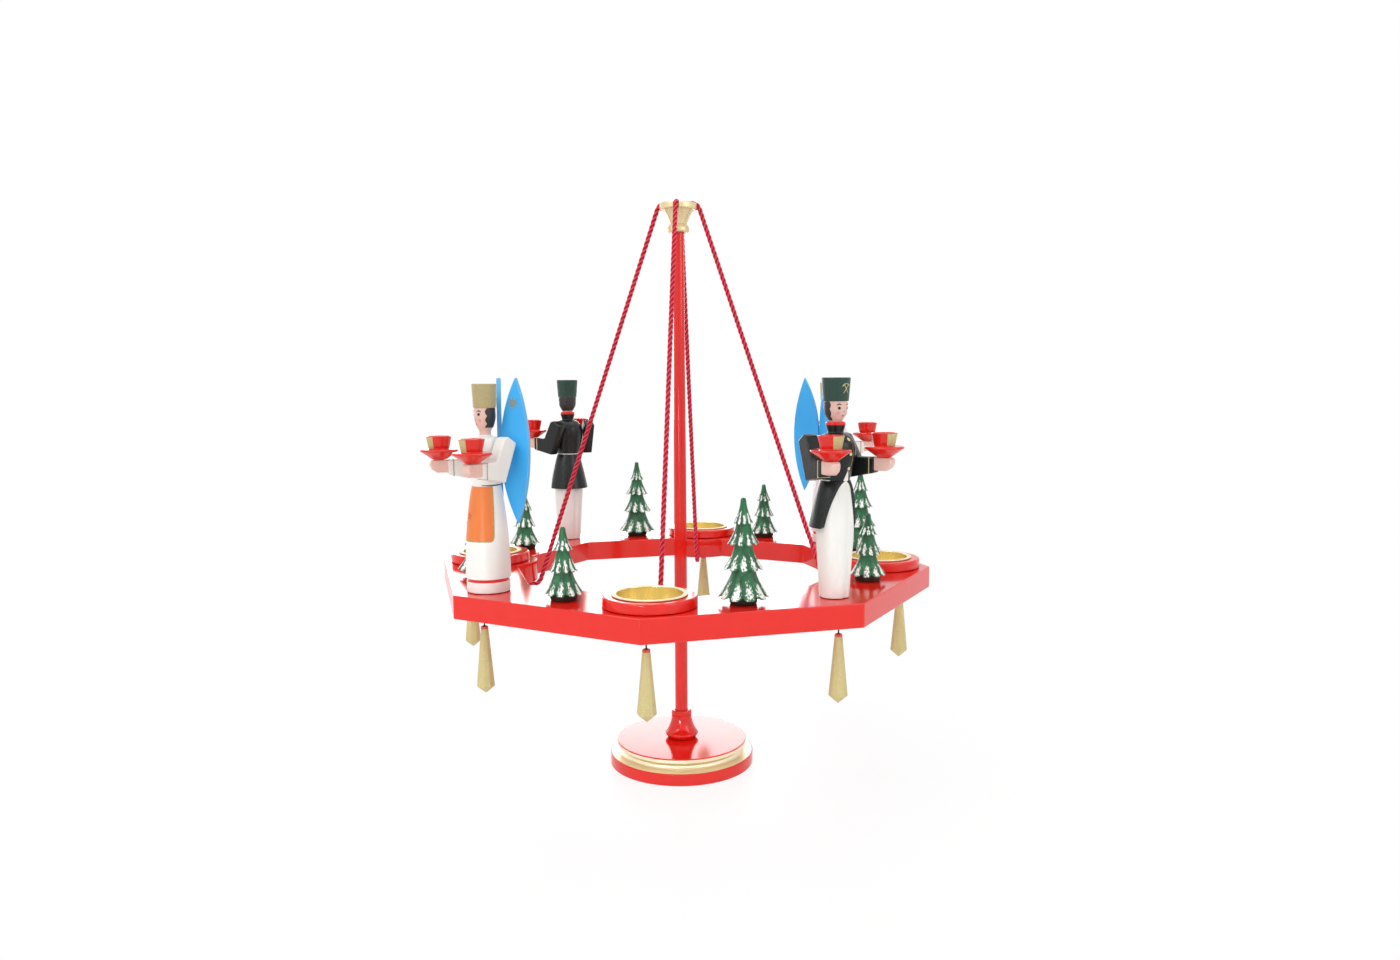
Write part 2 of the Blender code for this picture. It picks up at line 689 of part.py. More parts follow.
def make_cup(name, station, side, chest, hand_height, reach, material):
    """A turned candle cup on its saucer, standing on the hand."""
    top = CUP_SAUCER_HEIGHT + CUP_HEIGHT
    foot = CUP_RADIUS - CUP_WALL - CUP_WALL / 2
    floor = top - CUP_BORE_DEPTH
    outline = [
        (0, 0),
        (CUP_PEG_RADIUS, 0),
        (CUP_SAUCER_RADIUS, CUP_SAUCER_HEIGHT * 0.82),
        (CUP_SAUCER_RADIUS - CUP_WALL / 2, CUP_SAUCER_HEIGHT),
        (foot, CUP_SAUCER_HEIGHT),
        (CUP_RADIUS, top),
        (CUP_CANDLE_RADIUS, top),
        (foot - CUP_WALL, floor),
        (0, floor),
    ]
    cup = turned(name, outline, SIDES_CUP, material, station)
    offset = chest + SEAT_GAP + ARM_THICKNESS / 2
    turn = side * ARM_SPLAY - math.pi / 2
    cup.location = Matrix.Rotation(turn, 3, "Z") @ Vector((reach, side * offset, hand_height))
    return cup


def make_arms(name, station, chest, hand_height, shoulder_height, reach, sleeve, red):
    for word, side in (("left", 1), ("right", -1)):
        make_arm(f"{name}_arm_{word}", station, side, chest, hand_height, shoulder_height, reach, sleeve)
        make_cup(f"{name}_cup_{word}", station, side, chest, hand_height, reach, red)


def make_angel_body(name, station, material):
    """Gown, head and tall hat, turned in one piece, with a flat on the back for the wings."""
    groove = ANGEL_FOOT_HEIGHT + BASE_EDGE
    hem = groove + 2 * BASE_EDGE
    shoulder = ANGEL_SHOULDER_HEIGHT
    chin = shoulder + ANGEL_NECK_RADIUS
    hat = chin + ANGEL_HEAD_HEIGHT - BASE_EDGE
    gown = []
    for step in range(6):
        rise = step / 5
        fall = math.cos(rise * math.pi / 2) ** 0.8
        gown.append((
            ANGEL_WAIST_RADIUS + (ANGEL_HEM_RADIUS - ANGEL_WAIST_RADIUS) * fall,
            hem + (ANGEL_WAIST_HEIGHT - hem) * rise,
        ))
    outline = [
        (0, SEAT_GAP),
        (ANGEL_FOOT_RADIUS, SEAT_GAP),
        (ANGEL_FOOT_RADIUS, ANGEL_FOOT_HEIGHT),
        (ANGEL_FOOT_RADIUS - BASE_EDGE, groove),
        (ANGEL_FOOT_RADIUS - BASE_EDGE, hem),
        *gown,
        (ANGEL_CHEST_RADIUS * 0.93, shoulder - ANGEL_CHEST_RADIUS * 1.45),
        (ANGEL_CHEST_RADIUS, shoulder - ANGEL_CHEST_RADIUS * 0.9),
        (ANGEL_CHEST_RADIUS * 0.95, shoulder - ANGEL_CHEST_RADIUS * 0.4),
        (ANGEL_CHEST_RADIUS * 0.66, shoulder - BASE_EDGE),
        (ANGEL_NECK_RADIUS, shoulder + BASE_EDGE),
        (ANGEL_NECK_RADIUS, chin),
        (ANGEL_HEAD_RADIUS * 0.78, chin + ANGEL_HEAD_HEIGHT * 0.16),
        (ANGEL_HEAD_RADIUS, chin + ANGEL_HEAD_HEIGHT * 0.5),
        (ANGEL_HEAD_RADIUS * 0.97, hat),
        (ANGEL_HEAD_RADIUS + BASE_EDGE / 2, hat),
        (ANGEL_HAT_RADIUS, hat + ANGEL_HAT_HEIGHT - BASE_EDGE),
        (ANGEL_HAT_RADIUS - BASE_EDGE, hat + ANGEL_HAT_HEIGHT),
        (0, hat + ANGEL_HAT_HEIGHT),
    ]
    body = turned(f"{name}_body", outline, SIDES_SMALL, material, station)
    reach = 2 * ANGEL_CHEST_RADIUS
    low = (-reach, WING_SEAT_DISTANCE, ANGEL_WAIST_HEIGHT)
    high = (reach, reach, shoulder)
    combine(body, block(f"{name}_wing_seat", low, high, material, station), "DIFFERENCE")
    return body


def wing_outline(chord):
    """A pointed leaf between two arcs. x runs out from the figure's back."""
    half = WING_HEIGHT / 2
    middle = WING_TIP_HEIGHT + half
    points = []
    for bulge, direction in ((WING_OUTER_BULGE, 1), (WING_INNER_BULGE, -1)):
        radius = (half**2 + bulge**2) / (2 * bulge)
        sweep = math.degrees(math.asin(half / radius))
        for x, z in arc((bulge - radius, 0), radius, -sweep, sweep, 8)[:-1]:
            points.append((chord + direction * x, middle + direction * z))
    return points


def make_wing(name, station, side, material):
    """A flat wing. Its inner edge sits against the flat on the angel's back."""
    half = WING_THICKNESS / 2
    inner = (half * math.cos(WING_SPREAD) + SEAT_GAP) / math.sin(WING_SPREAD)
    chord = inner + WING_INNER_BULGE
    spine = WING_SEAT_DISTANCE + SEAT_GAP + half * math.sin(WING_SPREAD) - inner * math.cos(WING_SPREAD)
    wing = sawn(name, wing_outline(chord), WING_THICKNESS, material, station)
    wing.location = (0, spine, 0)
    turn = math.pi / 2 - side * WING_SPREAD
    wing.rotation_euler = (0, 0, turn)
    return wing


def make_angel(name, station, finishes):
    make_angel_body(name, station, finishes["white paint"])
    make_arms(name, station, ANGEL_CHEST_RADIUS, ANGEL_HAND_HEIGHT, ANGEL_SHOULDER_HEIGHT, ANGEL_REACH,
              finishes["white paint"], finishes["red lacquer"])
    for word, side in (("left", 1), ("right", -1)):
        make_wing(f"{name}_wing_{word}", station, side, finishes["blue paint"])


def make_coat(name, station, material):
    """The coat's skirt: a flared cone that a slanting cut opens at the front."""
    waist = MINER_WAIST_HEIGHT
    hem = waist - COAT_LENGTH
    flare = []
    for step in range(5):
        drop = step / 4
        flare.append((
            MINER_WAIST_RADIUS + BASE_EDGE + (COAT_HEM_RADIUS - MINER_WAIST_RADIUS - BASE_EDGE) * drop**0.85,
            waist - COAT_LENGTH * drop,
        ))
    outline = [(0, waist), *flare, (MINER_FOOT_RADIUS, hem + BASE_EDGE), (0, hem + BASE_EDGE)]
    coat = turned(f"{name}_coat", outline, SIDES_SMALL, material, station)
    lean = math.atan2(MINER_WAIST_RADIUS - COAT_FRONT_AT_HEM, COAT_LENGTH)
    reach = 2 * COAT_LENGTH
    cut = block(f"{name}_coat_cut", (-reach, -reach, -reach), (reach, 0, reach), material, station)
    cut.location = (0, -COAT_FRONT_AT_HEM, hem)
    cut.rotation_euler = (lean, 0, 0)
    combine(coat, cut, "DIFFERENCE")
    return coat


def make_miner_body(name, station, material, coat_material):
    """Trousers and jacket in one turned piece, with the coat's skirt and a standing collar."""
    waist = MINER_WAIST_HEIGHT
    shoulder = MINER_SHOULDER_HEIGHT
    collar = shoulder + MINER_COLLAR_HEIGHT
    chest = MINER_CHEST_RADIUS
    outline = [
        (0, SEAT_GAP),
        (MINER_FOOT_RADIUS - BASE_EDGE, SEAT_GAP),
        (MINER_FOOT_RADIUS, SEAT_GAP + BASE_EDGE),
        ((MINER_FOOT_RADIUS + MINER_LEG_RADIUS) / 2, waist * 0.3),
        (MINER_LEG_RADIUS, waist * 0.58),
        (MINER_LEG_RADIUS * 0.94, waist * 0.74),
        (MINER_WAIST_RADIUS, waist - BASE_EDGE),
        (MINER_WAIST_RADIUS, waist + BASE_EDGE),
        (chest * 0.9, shoulder - chest * 1.45),
        (chest, shoulder - chest * 0.9),
        (chest * 0.95, shoulder - chest * 0.4),
        (chest * 0.66, shoulder - BASE_EDGE),
        (MINER_COLLAR_RADIUS * 0.78, shoulder + BASE_EDGE),
        (MINER_COLLAR_RADIUS, collar),
        (MINER_COLLAR_RADIUS - BASE_EDGE, collar + BASE_EDGE),
        (MINER_NECK_RADIUS + SEAT_GAP, collar - BASE_EDGE),
        (MINER_NECK_RADIUS + SEAT_GAP, shoulder),
        (0, shoulder),
    ]
    body = turned(f"{name}_body", outline, SIDES_SMALL, material, station)
    combine(body, make_coat(name, station, coat_material), "UNION")
    return body


def make_miner_head(name, station, material):
    """Head and tall hat in one turned piece, pegged into the collar."""
    peg = MINER_SHOULDER_HEIGHT + SEAT_GAP
    jaw = MINER_SHOULDER_HEIGHT + MINER_COLLAR_HEIGHT + BASE_EDGE + SEAT_GAP
    hat = jaw + MINER_HEAD_HEIGHT - BASE_EDGE
    top = hat + MINER_HAT_HEIGHT
    outline = [
        (0, peg),
        (MINER_NECK_RADIUS, peg),
        (MINER_NECK_RADIUS, jaw - SEAT_GAP),
        (MINER_HEAD_RADIUS * 0.72, jaw + MINER_HEAD_HEIGHT * 0.12),
        (MINER_HEAD_RADIUS * 0.94, jaw + MINER_HEAD_HEIGHT * 0.36),
        (MINER_HEAD_RADIUS, jaw + MINER_HEAD_HEIGHT * 0.65),
        (MINER_HEAD_RADIUS, hat),
        (MINER_HEAD_RADIUS + BASE_EDGE, hat),
        (MINER_HAT_RADIUS, top - BASE_EDGE),
        (MINER_HAT_RADIUS - BASE_EDGE, top),
        (0, top),
    ]
    return turned(f"{name}_head", outline, SIDES_SMALL, material, station)


def make_miner(name, station, finishes):
    make_miner_body(name, station, finishes["black paint"], finishes["black paint"])
    make_miner_head(name, station, finishes["skin paint"])
    make_arms(name, station, MINER_CHEST_RADIUS, MINER_HAND_HEIGHT, MINER_SHOULDER_HEIGHT, MINER_REACH,
              finishes["black paint"], finishes["red lacquer"])


def make_stand(finishes):
    make_base(finishes["red lacquer"])
    make_collar(finishes["red lacquer"])
    make_post(finishes["red lacquer"])
    crown_pivot = add_empty("crown_pivot")
    make_crown(finishes["gold paint"], crown_pivot)
    make_knot(finishes["crimson cord"], crown_pivot)


def make_hanging_ring(finishes):
    ring = add_empty("ring_pivot")
    make_ring(finishes["red lacquer"], ring)
    for side, azimuth in QUARTERS.items():
        make_cord(side, azimuth, finishes["crimson cord"], ring)
        station = add_empty(f"tealight_{side}", around(TEALIGHT_STATION, azimuth, RING_TOP_Z), azimuth, ring)
        make_tealight_ring(side, station, finishes["red lacquer"])
        make_insert(side, station, finishes["brass"])
    corner = 2 * math.pi / CORNERS
    for number in range(CORNERS):
        place = add_empty(f"tree_place_{number + 1}",
                          around(TREE_STATION, corner * (number + 0.5), RING_TOP_Z), corner * number, ring)
        order = number // 2 + 1
        if number % 2:
            make_tree(f"tree_small_{order}", place, TREE_SMALL_TIERS, TREE_SMALL_HEMS, finishes["fir green"])
        else:
            make_tree(f"tree_large_{order}", place, TREE_LARGE_TIERS, TREE_LARGE_HEMS, finishes["fir green"])
        pivot = add_empty(f"drop_pivot_{number + 1}",
                          around(DROP_STATION, corner * number, RING_UNDERSIDE_Z), corner * number, ring)
        make_drop(f"drop_{number + 1}", pivot, finishes["gold paint"])
    figures = (("miner_front", 1, make_miner), ("angel_back", 3, make_angel),
               ("miner_back", 5, make_miner), ("angel_front", 7, make_angel))
    for name, number, make_figure in figures:
        azimuth = corner * number
        station = add_empty(f"{name}_station", around(FIGURE_STATION, azimuth, RING_TOP_Z), azimuth, ring)
        make_figure(name, station, finishes)


def main():
    for old in list(bpy.data.objects):
        bpy.data.objects.remove(old, do_unlink=True)
    finishes = make_finishes()
    make_stand(finishes)
    make_hanging_ring(finishes)


main()
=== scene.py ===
"""The look of an advent candle holder: lacquered and painted wood, gilding, brass and twisted cord.

Sizes are in metres, in the frame of the solids: +Z up, the front tea light towards -Y.
An azimuth is counted from the front towards +X. A figure is shaped facing -Y with its left
towards +X, then set on its corner of the ring.
"""

import bmesh
import bpy
import math
from mathutils import Matrix, Vector, noise


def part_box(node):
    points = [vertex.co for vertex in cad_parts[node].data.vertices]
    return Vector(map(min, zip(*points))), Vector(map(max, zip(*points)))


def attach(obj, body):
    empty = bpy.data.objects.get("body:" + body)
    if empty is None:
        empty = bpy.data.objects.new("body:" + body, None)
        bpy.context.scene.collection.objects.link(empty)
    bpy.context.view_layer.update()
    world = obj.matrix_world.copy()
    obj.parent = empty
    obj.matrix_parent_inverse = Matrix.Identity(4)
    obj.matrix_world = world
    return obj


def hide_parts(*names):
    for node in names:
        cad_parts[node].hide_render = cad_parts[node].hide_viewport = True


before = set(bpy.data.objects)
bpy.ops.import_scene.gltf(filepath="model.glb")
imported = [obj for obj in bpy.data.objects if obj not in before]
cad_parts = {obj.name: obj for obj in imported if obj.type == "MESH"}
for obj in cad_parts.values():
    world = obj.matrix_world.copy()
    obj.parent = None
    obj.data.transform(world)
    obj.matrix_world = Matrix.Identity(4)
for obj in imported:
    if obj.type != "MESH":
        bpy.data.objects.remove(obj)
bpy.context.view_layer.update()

# Where things stand, taken from the solids
RING_LOW, RING_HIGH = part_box("octagon_ring")
RING_TOP = RING_HIGH[2]
RING_UNDERSIDE = RING_LOW[2]
RING_CORNER_RADIUS = RING_HIGH[0]
BASE_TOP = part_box("base_disc")[1][2]
BASE_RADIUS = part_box("base_disc")[1][0]
COLLAR_BOTTOM, COLLAR_TOP = (corner[2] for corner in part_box("foot_collar"))
POST_BOTTOM, POST_TOP = (corner[2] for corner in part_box("post"))
CROWN_BOTTOM, CROWN_TOP = (corner[2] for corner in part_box("crown"))
CROWN_RADIUS = 0.0135
KNOT_BOTTOM, KNOT_TOP = (corner[2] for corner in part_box("cord_knot"))
QUARTERS = {"front": 0.0, "right": math.pi / 2, "back": math.pi, "left": 1.5 * math.pi}
CORNER = math.pi / 4
TEALIGHT_STATION = 0.144
TREE_STATION = 0.144
DROP_STATION = 0.159
FIGURE_STATION = 0.1552
RING_INNER_CORNER_RADIUS = 0.126
LOBE_STATION = 0.137
LOBE_RADIUS = 0.028
INSERT_RADIUS = 0.0206
FIT = 0.0003
WELD = 0.00001
SOFT_ANGLE = math.radians(38)

# Cord, laid along the route of its solid: distance from the post's axis and height
CORD_DIAMETER = 0.0032
CORD_LAY = 0.0120
CORD_STRANDS = 3
CORD_CLEARANCE = 0.0005
STRAND_SHARE = 0.28
LAY_SHARE = 0.265
KNOT_CORD = 0.0026
CORD_ROUTE = (
    (0.0052, 0.40775),
    (0.0074, 0.40775),
    (0.0093, 0.40775),
    (0.0112, 0.40745),
    (0.0130, 0.40660),
    (0.0144, 0.40520),
    (0.0153, 0.40340),
    (0.0180, 0.39540),
    (0.1028, 0.14343),
    (0.1055, 0.13543),
    (0.1067, 0.13338),
    (0.1087, 0.13179),
    (0.1111, 0.13111),
    (0.1137, 0.13144),
    (0.1153, 0.13231),
    (0.1166, 0.13355),
    (0.1197, 0.13750),
)

# Figures
ARM_THICKNESS = 0.008
ARM_SPLAY = math.radians(17)
ANGEL = {"chest": 0.0118, "reach": 0.0266, "hand": 0.0841, "shoulder": 0.0990, "head": 0.0067}
MINER = {"chest": 0.0126, "reach": 0.0245, "hand": 0.0864, "shoulder": 0.1008, "head": 0.0071}
FIGURES = {"miner_front": 1, "angel_back": 3, "miner_back": 5, "angel_front": 7}
ANGEL_CHIN = ANGEL["shoulder"] + 0.0036
GOWN_WAIST = 0.068
WING_SEAT = 0.009
MINER_COLLAR = MINER["shoulder"] + 0.0066
MINER_JAW = MINER_COLLAR + 0.0007 + FIT
PAINT_DEPTH = 0.00012

# Camera, worked out from the octagon's corners and the base
CAMERA_PLACE = Vector((0.0944, -0.7308, 0.2808))
CAMERA_HEADING = Vector((-0.10798, 0.98954, -0.09565))
CAMERA_ROLL = -0.00463
CAMERA_LENS = 26.04
CAMERA_SENSOR = 36.0


def polar(radius, azimuth, height=0.0):
    return Vector((radius * math.sin(azimuth), -radius * math.cos(azimuth), height))


def on_ring(radius, azimuth, height=None):
    """The frame of a station on the ring, turned to face outwards."""
    level = RING_TOP if height is None else height
    return Matrix.Translation(polar(radius, azimuth, level)) @ Matrix.Rotation(azimuth, 4, "Z")


def smoothstep(low, high, value):
    t = min(max((value - low) / (high - low), 0.0), 1.0)
    return t * t * (3 - 2 * t)


# Finishes


def new_finish(name):
    material = bpy.data.materials.new(name)
    material.use_nodes = True
    return material, material.node_tree, material.node_tree.nodes["Principled BSDF"]


def node(tree, kind, **inputs):
    """A shader node with some inputs set by name."""
    made = tree.nodes.new(kind)
    for name, value in inputs.items():
        made.inputs[name.replace("_", " ")].default_value = value
    return made


def stretched_noise(tree, scale, detail=4.0, roughness=0.55):
    """Noise on the piece's own coordinates, with its own scale along each axis."""
    coordinates = node(tree, "ShaderNodeTexCoord")
    mapping = node(tree, "ShaderNodeMapping", Scale=scale)
    texture = node(tree, "ShaderNodeTexNoise", Scale=1.0, Detail=detail, Roughness=roughness)
    tree.links.new(coordinates.outputs["Object"], mapping.inputs["Vector"])
    tree.links.new(mapping.outputs["Vector"], texture.inputs["Vector"])
    return texture.outputs["Fac"]


def ramp(tree, value, stops):
    """A colour ramp from (place, colour) stops."""
    made = tree.nodes.new("ShaderNodeValToRGB")
    bands = made.color_ramp.elements
    while len(bands) < len(stops):
        bands.new(0.5)
    for band, (place, colour) in zip(bands, stops):
        band.position = place
        band.color = (*colour, 1)
    tree.links.new(value, made.inputs["Fac"])
    return made.outputs["Color"]


def bump(tree, height, strength, distance):
    made = node(tree, "ShaderNodeBump", Strength=strength, Distance=distance)
    tree.links.new(height, made.inputs["Height"])
    return made.outputs["Normal"]


def range_of(tree, value, low, high, start=0.0, stop=1.0):
    """Maps a value that runs from start to stop onto low to high."""
    made = node(tree, "ShaderNodeMapRange", From_Min=start, From_Max=stop, To_Min=low, To_Max=high)
    tree.links.new(value, made.inputs["Value"])
    return made.outputs["Result"]


def math_node(tree, operation, *values):
    """The result of a sum on sockets and plain numbers."""
    made = tree.nodes.new("ShaderNodeMath")
    made.operation = operation
    for socket, value in zip(made.inputs, values):
        if isinstance(value, bpy.types.NodeSocket):
            tree.links.new(value, socket)
        else:
            socket.default_value = value
    return made.outputs[0]


def attribute(tree, name):
    """A number stored on the points of the mesh."""
    made = tree.nodes.new("ShaderNodeAttribute")
    made.attribute_name = name
    return made.outputs["Fac"]


def seen_or_mirrored(tree):
    """One for rays from the camera or off a glossy surface, and nought for all others."""
    rays = tree.nodes.new("ShaderNodeLightPath")
    return math_node(tree, "MAXIMUM", rays.outputs["Is Camera Ray"], rays.outputs["Is Glossy Ray"])


def paint(name, colour, shade, roughness=0.35, coat=0.0, grain=0.15, metallic=0.0,
          fibre_scale=(900, 900, 70), ior=1.5):
    """Brushed paint on turned wood: two close tones, with the wood's grain faint in the surface."""
    material, tree, shader = new_finish(name)
    tone = stretched_noise(tree, (90, 90, 30))
    tree.links.new(ramp(tree, tone, ((0.3, shade), (0.68, colour))), shader.inputs["Base Color"])
    fibre = stretched_noise(tree, fibre_scale, 3.0)
    tree.links.new(range_of(tree, fibre, roughness * 0.8, roughness * 1.2), shader.inputs["Roughness"])
    tree.links.new(bump(tree, fibre, grain, 0.0002), shader.inputs["Normal"])
    shader.inputs["Coat Weight"].default_value = coat
    shader.inputs["Coat Roughness"].default_value = 0.06
    shader.inputs["IOR"].default_value = ior
    shader.inputs["Metallic"].default_value = metallic
    return material


def gilding(name, colour, shade, speckle, roughening, metallic, fineness=2600, gloss=0.0):
    """Gold paint with fine specks of bronze powder."""
    material, tree, shader = new_finish(name)
    specks = stretched_noise(tree, (fineness, fineness, fineness), 2.0, 0.7)
    stops = ((0.36, shade), (0.5, colour), (0.66, speckle))
    tree.links.new(ramp(tree, specks, stops), shader.inputs["Base Color"])
    tree.links.new(range_of(tree, specks, 0.44 - gloss, 0.6 - gloss), shader.inputs["Roughness"])
    tree.links.new(bump(tree, specks, roughening, 0.0001), shader.inputs["Normal"])
    shader.inputs["Metallic"].default_value = metallic
    return material


def spun_brass(name):
    """Thin brass-coloured sheet with the faint rings of spinning."""
    material, tree, shader = new_finish(name)
    rings = stretched_noise(tree, (40, 40, 2500), 3.0)
    stops = ((0.3, (0.90, 0.76, 0.38)), (0.7, (0.94, 0.81, 0.44)))
    tree.links.new(ramp(tree, rings, stops), shader.inputs["Base Color"])
    tree.links.new(range_of(tree, rings, 0.2, 0.28), shader.inputs["Roughness"])
    tree.links.new(bump(tree, rings, 0.03, 0.0001), shader.inputs["Normal"])
    shader.inputs["Metallic"].default_value = 0.85
    return material


def twisted_yarn(name):
    """Crimson yarn with fine fibres, with painted shade between the strands and painted highlights on their
    crests.
    """
    material, tree, shader = new_finish(name)
    fibres = stretched_noise(tree, (3200, 3200, 900), 4.0, 0.65)
    valley, ridge = CORD_DIAMETER * 0.27, CORD_DIAMETER * 0.54
    # Painted shade and highlight: the colour runs from dark in the valleys between strands to light on
    # their crests.
    crest = range_of(tree, attribute(tree, "away"), -0.15, 0.85, valley, ridge)
    tone = math_node(tree, "MULTIPLY_ADD", fibres, 0.3, crest)
    stops = (
        (0.25, (0.13, 0.002, 0.010)),
        (0.65, (0.47, 0.008, 0.026)),
        (0.95, (0.74, 0.055, 0.09)),
    )
    tree.links.new(ramp(tree, tone, stops), shader.inputs["Base Color"])
    tree.links.new(bump(tree, fibres, 0.5, 0.0002), shader.inputs["Normal"])
    shader.inputs["Roughness"].default_value = 0.62
    shader.inputs["Sheen Weight"].default_value = 0.05
    shader.inputs["Specular IOR Level"].default_value = 0.15
    return material


def snowy_fir(name):
    """Green paint with white brushed down over the hems, as far as the snow_and_notch_shade attribute says;
    where it keeps the notches green, that is painted shade.
    """
    material, tree, shader = new_finish(name)
    tone = stretched_noise(tree, (260, 260, 90))
    green = ramp(tree, tone, ((0.32, (0.002, 0.055, 0.019)), (0.66, (0.010, 0.165, 0.050))))
    streaks = stretched_noise(tree, (1100, 1100, 210), 4.0, 0.65)
    brushed = math_node(tree, "ADD", attribute(tree, "snow_and_notch_shade"), range_of(tree, streaks, -0.95, 0.95))
    cover = range_of(tree, brushed, 0.0, 1.0, 0.42, 0.62)
    mixed = tree.nodes.new("ShaderNodeMix")
    mixed.data_type = "RGBA"
    tree.links.new(cover, mixed.inputs["Factor"])
    tree.links.new(green, mixed.inputs["A"])
    mixed.inputs["B"].default_value = (0.88, 0.88, 0.85, 1)
    tree.links.new(mixed.outputs["Result"], shader.inputs["Base Color"])
    tree.links.new(bump(tree, streaks, 0.3, 0.0003), shader.inputs["Normal"])
    shader.inputs["Roughness"].default_value = 0.42
    return material


FINISHES = {
    "red lacquer": paint("red lacquer", (0.72, 0.014, 0.007), (0.70, 0.012, 0.006), 0.13, 0.0, 0.02,
                         fibre_scale=(150, 150, 25)),
    "gilt": gilding("gilt", (0.78, 0.65, 0.37), (0.75, 0.62, 0.34), (0.81, 0.69, 0.42),
                    0.002, 0.5, 1600, 0.14),
    # Painted light: the base's gilding is paler than the crown's gilt, standing for the light on its
    # upturned ledge.
    "pale gilt": gilding("pale gilt", (0.93, 0.83, 0.60), (0.90, 0.79, 0.55), (0.95, 0.87, 0.66),
                         0.002, 0.6, 1600, 0.12),
    "drop gilt": gilding("drop gilt", (0.56, 0.48, 0.21), (0.46, 0.38, 0.15), (0.66, 0.59, 0.32),
                         0.14, 0.15),
    "hat gold": gilding("hat gold", (0.45, 0.375, 0.18), (0.37, 0.30, 0.13), (0.54, 0.46, 0.25),
                        0.06, 0.1),
    "brass": spun_brass("brass"),
    # Painted highlight: a creamy white for the glare on the brass lips of the tea-light inserts.
    "cream": paint("cream", (0.81, 0.72, 0.49), (0.75, 0.65, 0.41), 0.45, 0.0, 0.05),
    "crimson yarn": twisted_yarn("crimson yarn"),
    "fir": snowy_fir("fir"),
    "bark": paint("bark", (0.035, 0.022, 0.012), (0.015, 0.010, 0.006), 0.6, 0.0, 0.3),
    "white": paint("white", (0.84, 0.84, 0.80), (0.78, 0.78, 0.74), 0.34, 0.15, 0.07),
    "skin": paint("skin", (0.80, 0.54, 0.46), (0.72, 0.46, 0.39), 0.4, 0.05, 0.06),
    "blush": paint("blush", (0.76, 0.36, 0.31), (0.73, 0.38, 0.33), 0.45, 0.0, 0.05),
    "lip red": paint("lip red", (0.62, 0.05, 0.05), (0.5, 0.03, 0.03), 0.4, 0.0, 0.05),
    "hair black": paint("hair black", (0.022, 0.016, 0.016), (0.010, 0.008, 0.008), 0.45, 0.1, 0.2),
    "coat black": paint("coat black", (0.012, 0.015, 0.014), (0.008, 0.010, 0.010), 0.28, 0.0, 0.1,
                        ior=1.38),
    "hat green": paint("hat green", (0.008, 0.050, 0.033), (0.006, 0.036, 0.024), 0.42, 0.05, 0.1),
    "wing blue": paint("wing blue", (0.045, 0.47, 0.96), (0.040, 0.43, 0.90), 0.36, 0.0, 0.08),
    "wing edge": paint("wing edge", (0.14, 0.52, 0.88), (0.09, 0.42, 0.80), 0.4, 0.1, 0.08),
    "apron orange": paint("apron orange", (0.80, 0.21, 0.040), (0.72, 0.17, 0.030), 0.4, 0.0, 0.07),
    "olive gold": gilding("olive gold", (0.40, 0.31, 0.11), (0.30, 0.23, 0.08), (0.55, 0.46, 0.2),
                          0.1, 0.3),
    "star gold": gilding("star gold", (0.28, 0.29, 0.22), (0.22, 0.24, 0.19), (0.38, 0.37, 0.26),
                         0.1, 0.2),
    "drop red": paint("drop red", (0.72, 0.09, 0.03), (0.6, 0.06, 0.02), 0.4, 0.1, 0.06),
    "dark wire": paint("dark wire", (0.05, 0.04, 0.035), (0.03, 0.025, 0.02), 0.4, 0.0, 0.1, 0.8),
}
FINISH_ORDER = list(FINISHES)


# Shapes: each is a bmesh whose faces carry the number of their finish


def rounded(outline, steps=4):
    """Softens the corners of an outline of (radius, height, finish, corner size) points."""
    soft = [outline[0][:3]]
    for before, here, after in zip(outline, outline[1:], outline[2:]):
        size = here[3] if len(here) > 3 else 0.0
        corner = Vector(here[:2])
        into, out = Vector(before[:2]) - corner, Vector(after[:2]) - corner
        reach = min(size, into.length * 0.48, out.length * 0.48)
        if reach < WELD:
            soft.append(here[:3])
            continue
        start, end = corner + into.normalized() * reach, corner + out.normalized() * reach
        guard = reach * 1.3
        if guard < into.length * 0.5:
            soft.append((*(corner + into.normalized() * guard), before[2]))
        for step in range(steps + 1):
            t = step / steps
            point = start * (1 - t) ** 2 + corner * 2 * t * (1 - t) + end * t**2
            soft.append((point.x, point.y, before[2] if step < steps / 2 else here[2]))
        if guard < out.length * 0.5:
            soft.append((*(corner + out.normalized() * guard), here[2]))
    soft.append(outline[-1][:3])
    return soft


def smooth(shape):
    for face in shape.faces:
        face.smooth = True
    return shape


def turned(outline, sides=64, hollow=False):
    """A turned shape. Each stretch of the outline takes the finish of the point it starts at."""
    shape = bmesh.new()
    rings = []
    for radius, height, _ in outline:
        if radius < WELD:
            rings.append([shape.verts.new((0, 0, height))] * sides)
        else:
            rings.append([shape.verts.new(polar(radius, 2 * math.pi * i / sides, height))
                          for i in range(sides)])
    pairs = list(zip(rings, rings[1:], outline))
    if hollow:
        pairs.append((rings[-1], rings[0], outline[-1]))
    for first, second, (_, _, finish) in pairs:
        for i in range(sides):
            j = (i + 1) % sides
            corners = list(dict.fromkeys((first[i], second[i], second[j], first[j])))
            if len(corners) > 2:
                shape.faces.new(corners).material_index = FINISH_ORDER.index(finish)
    return smooth(shape)


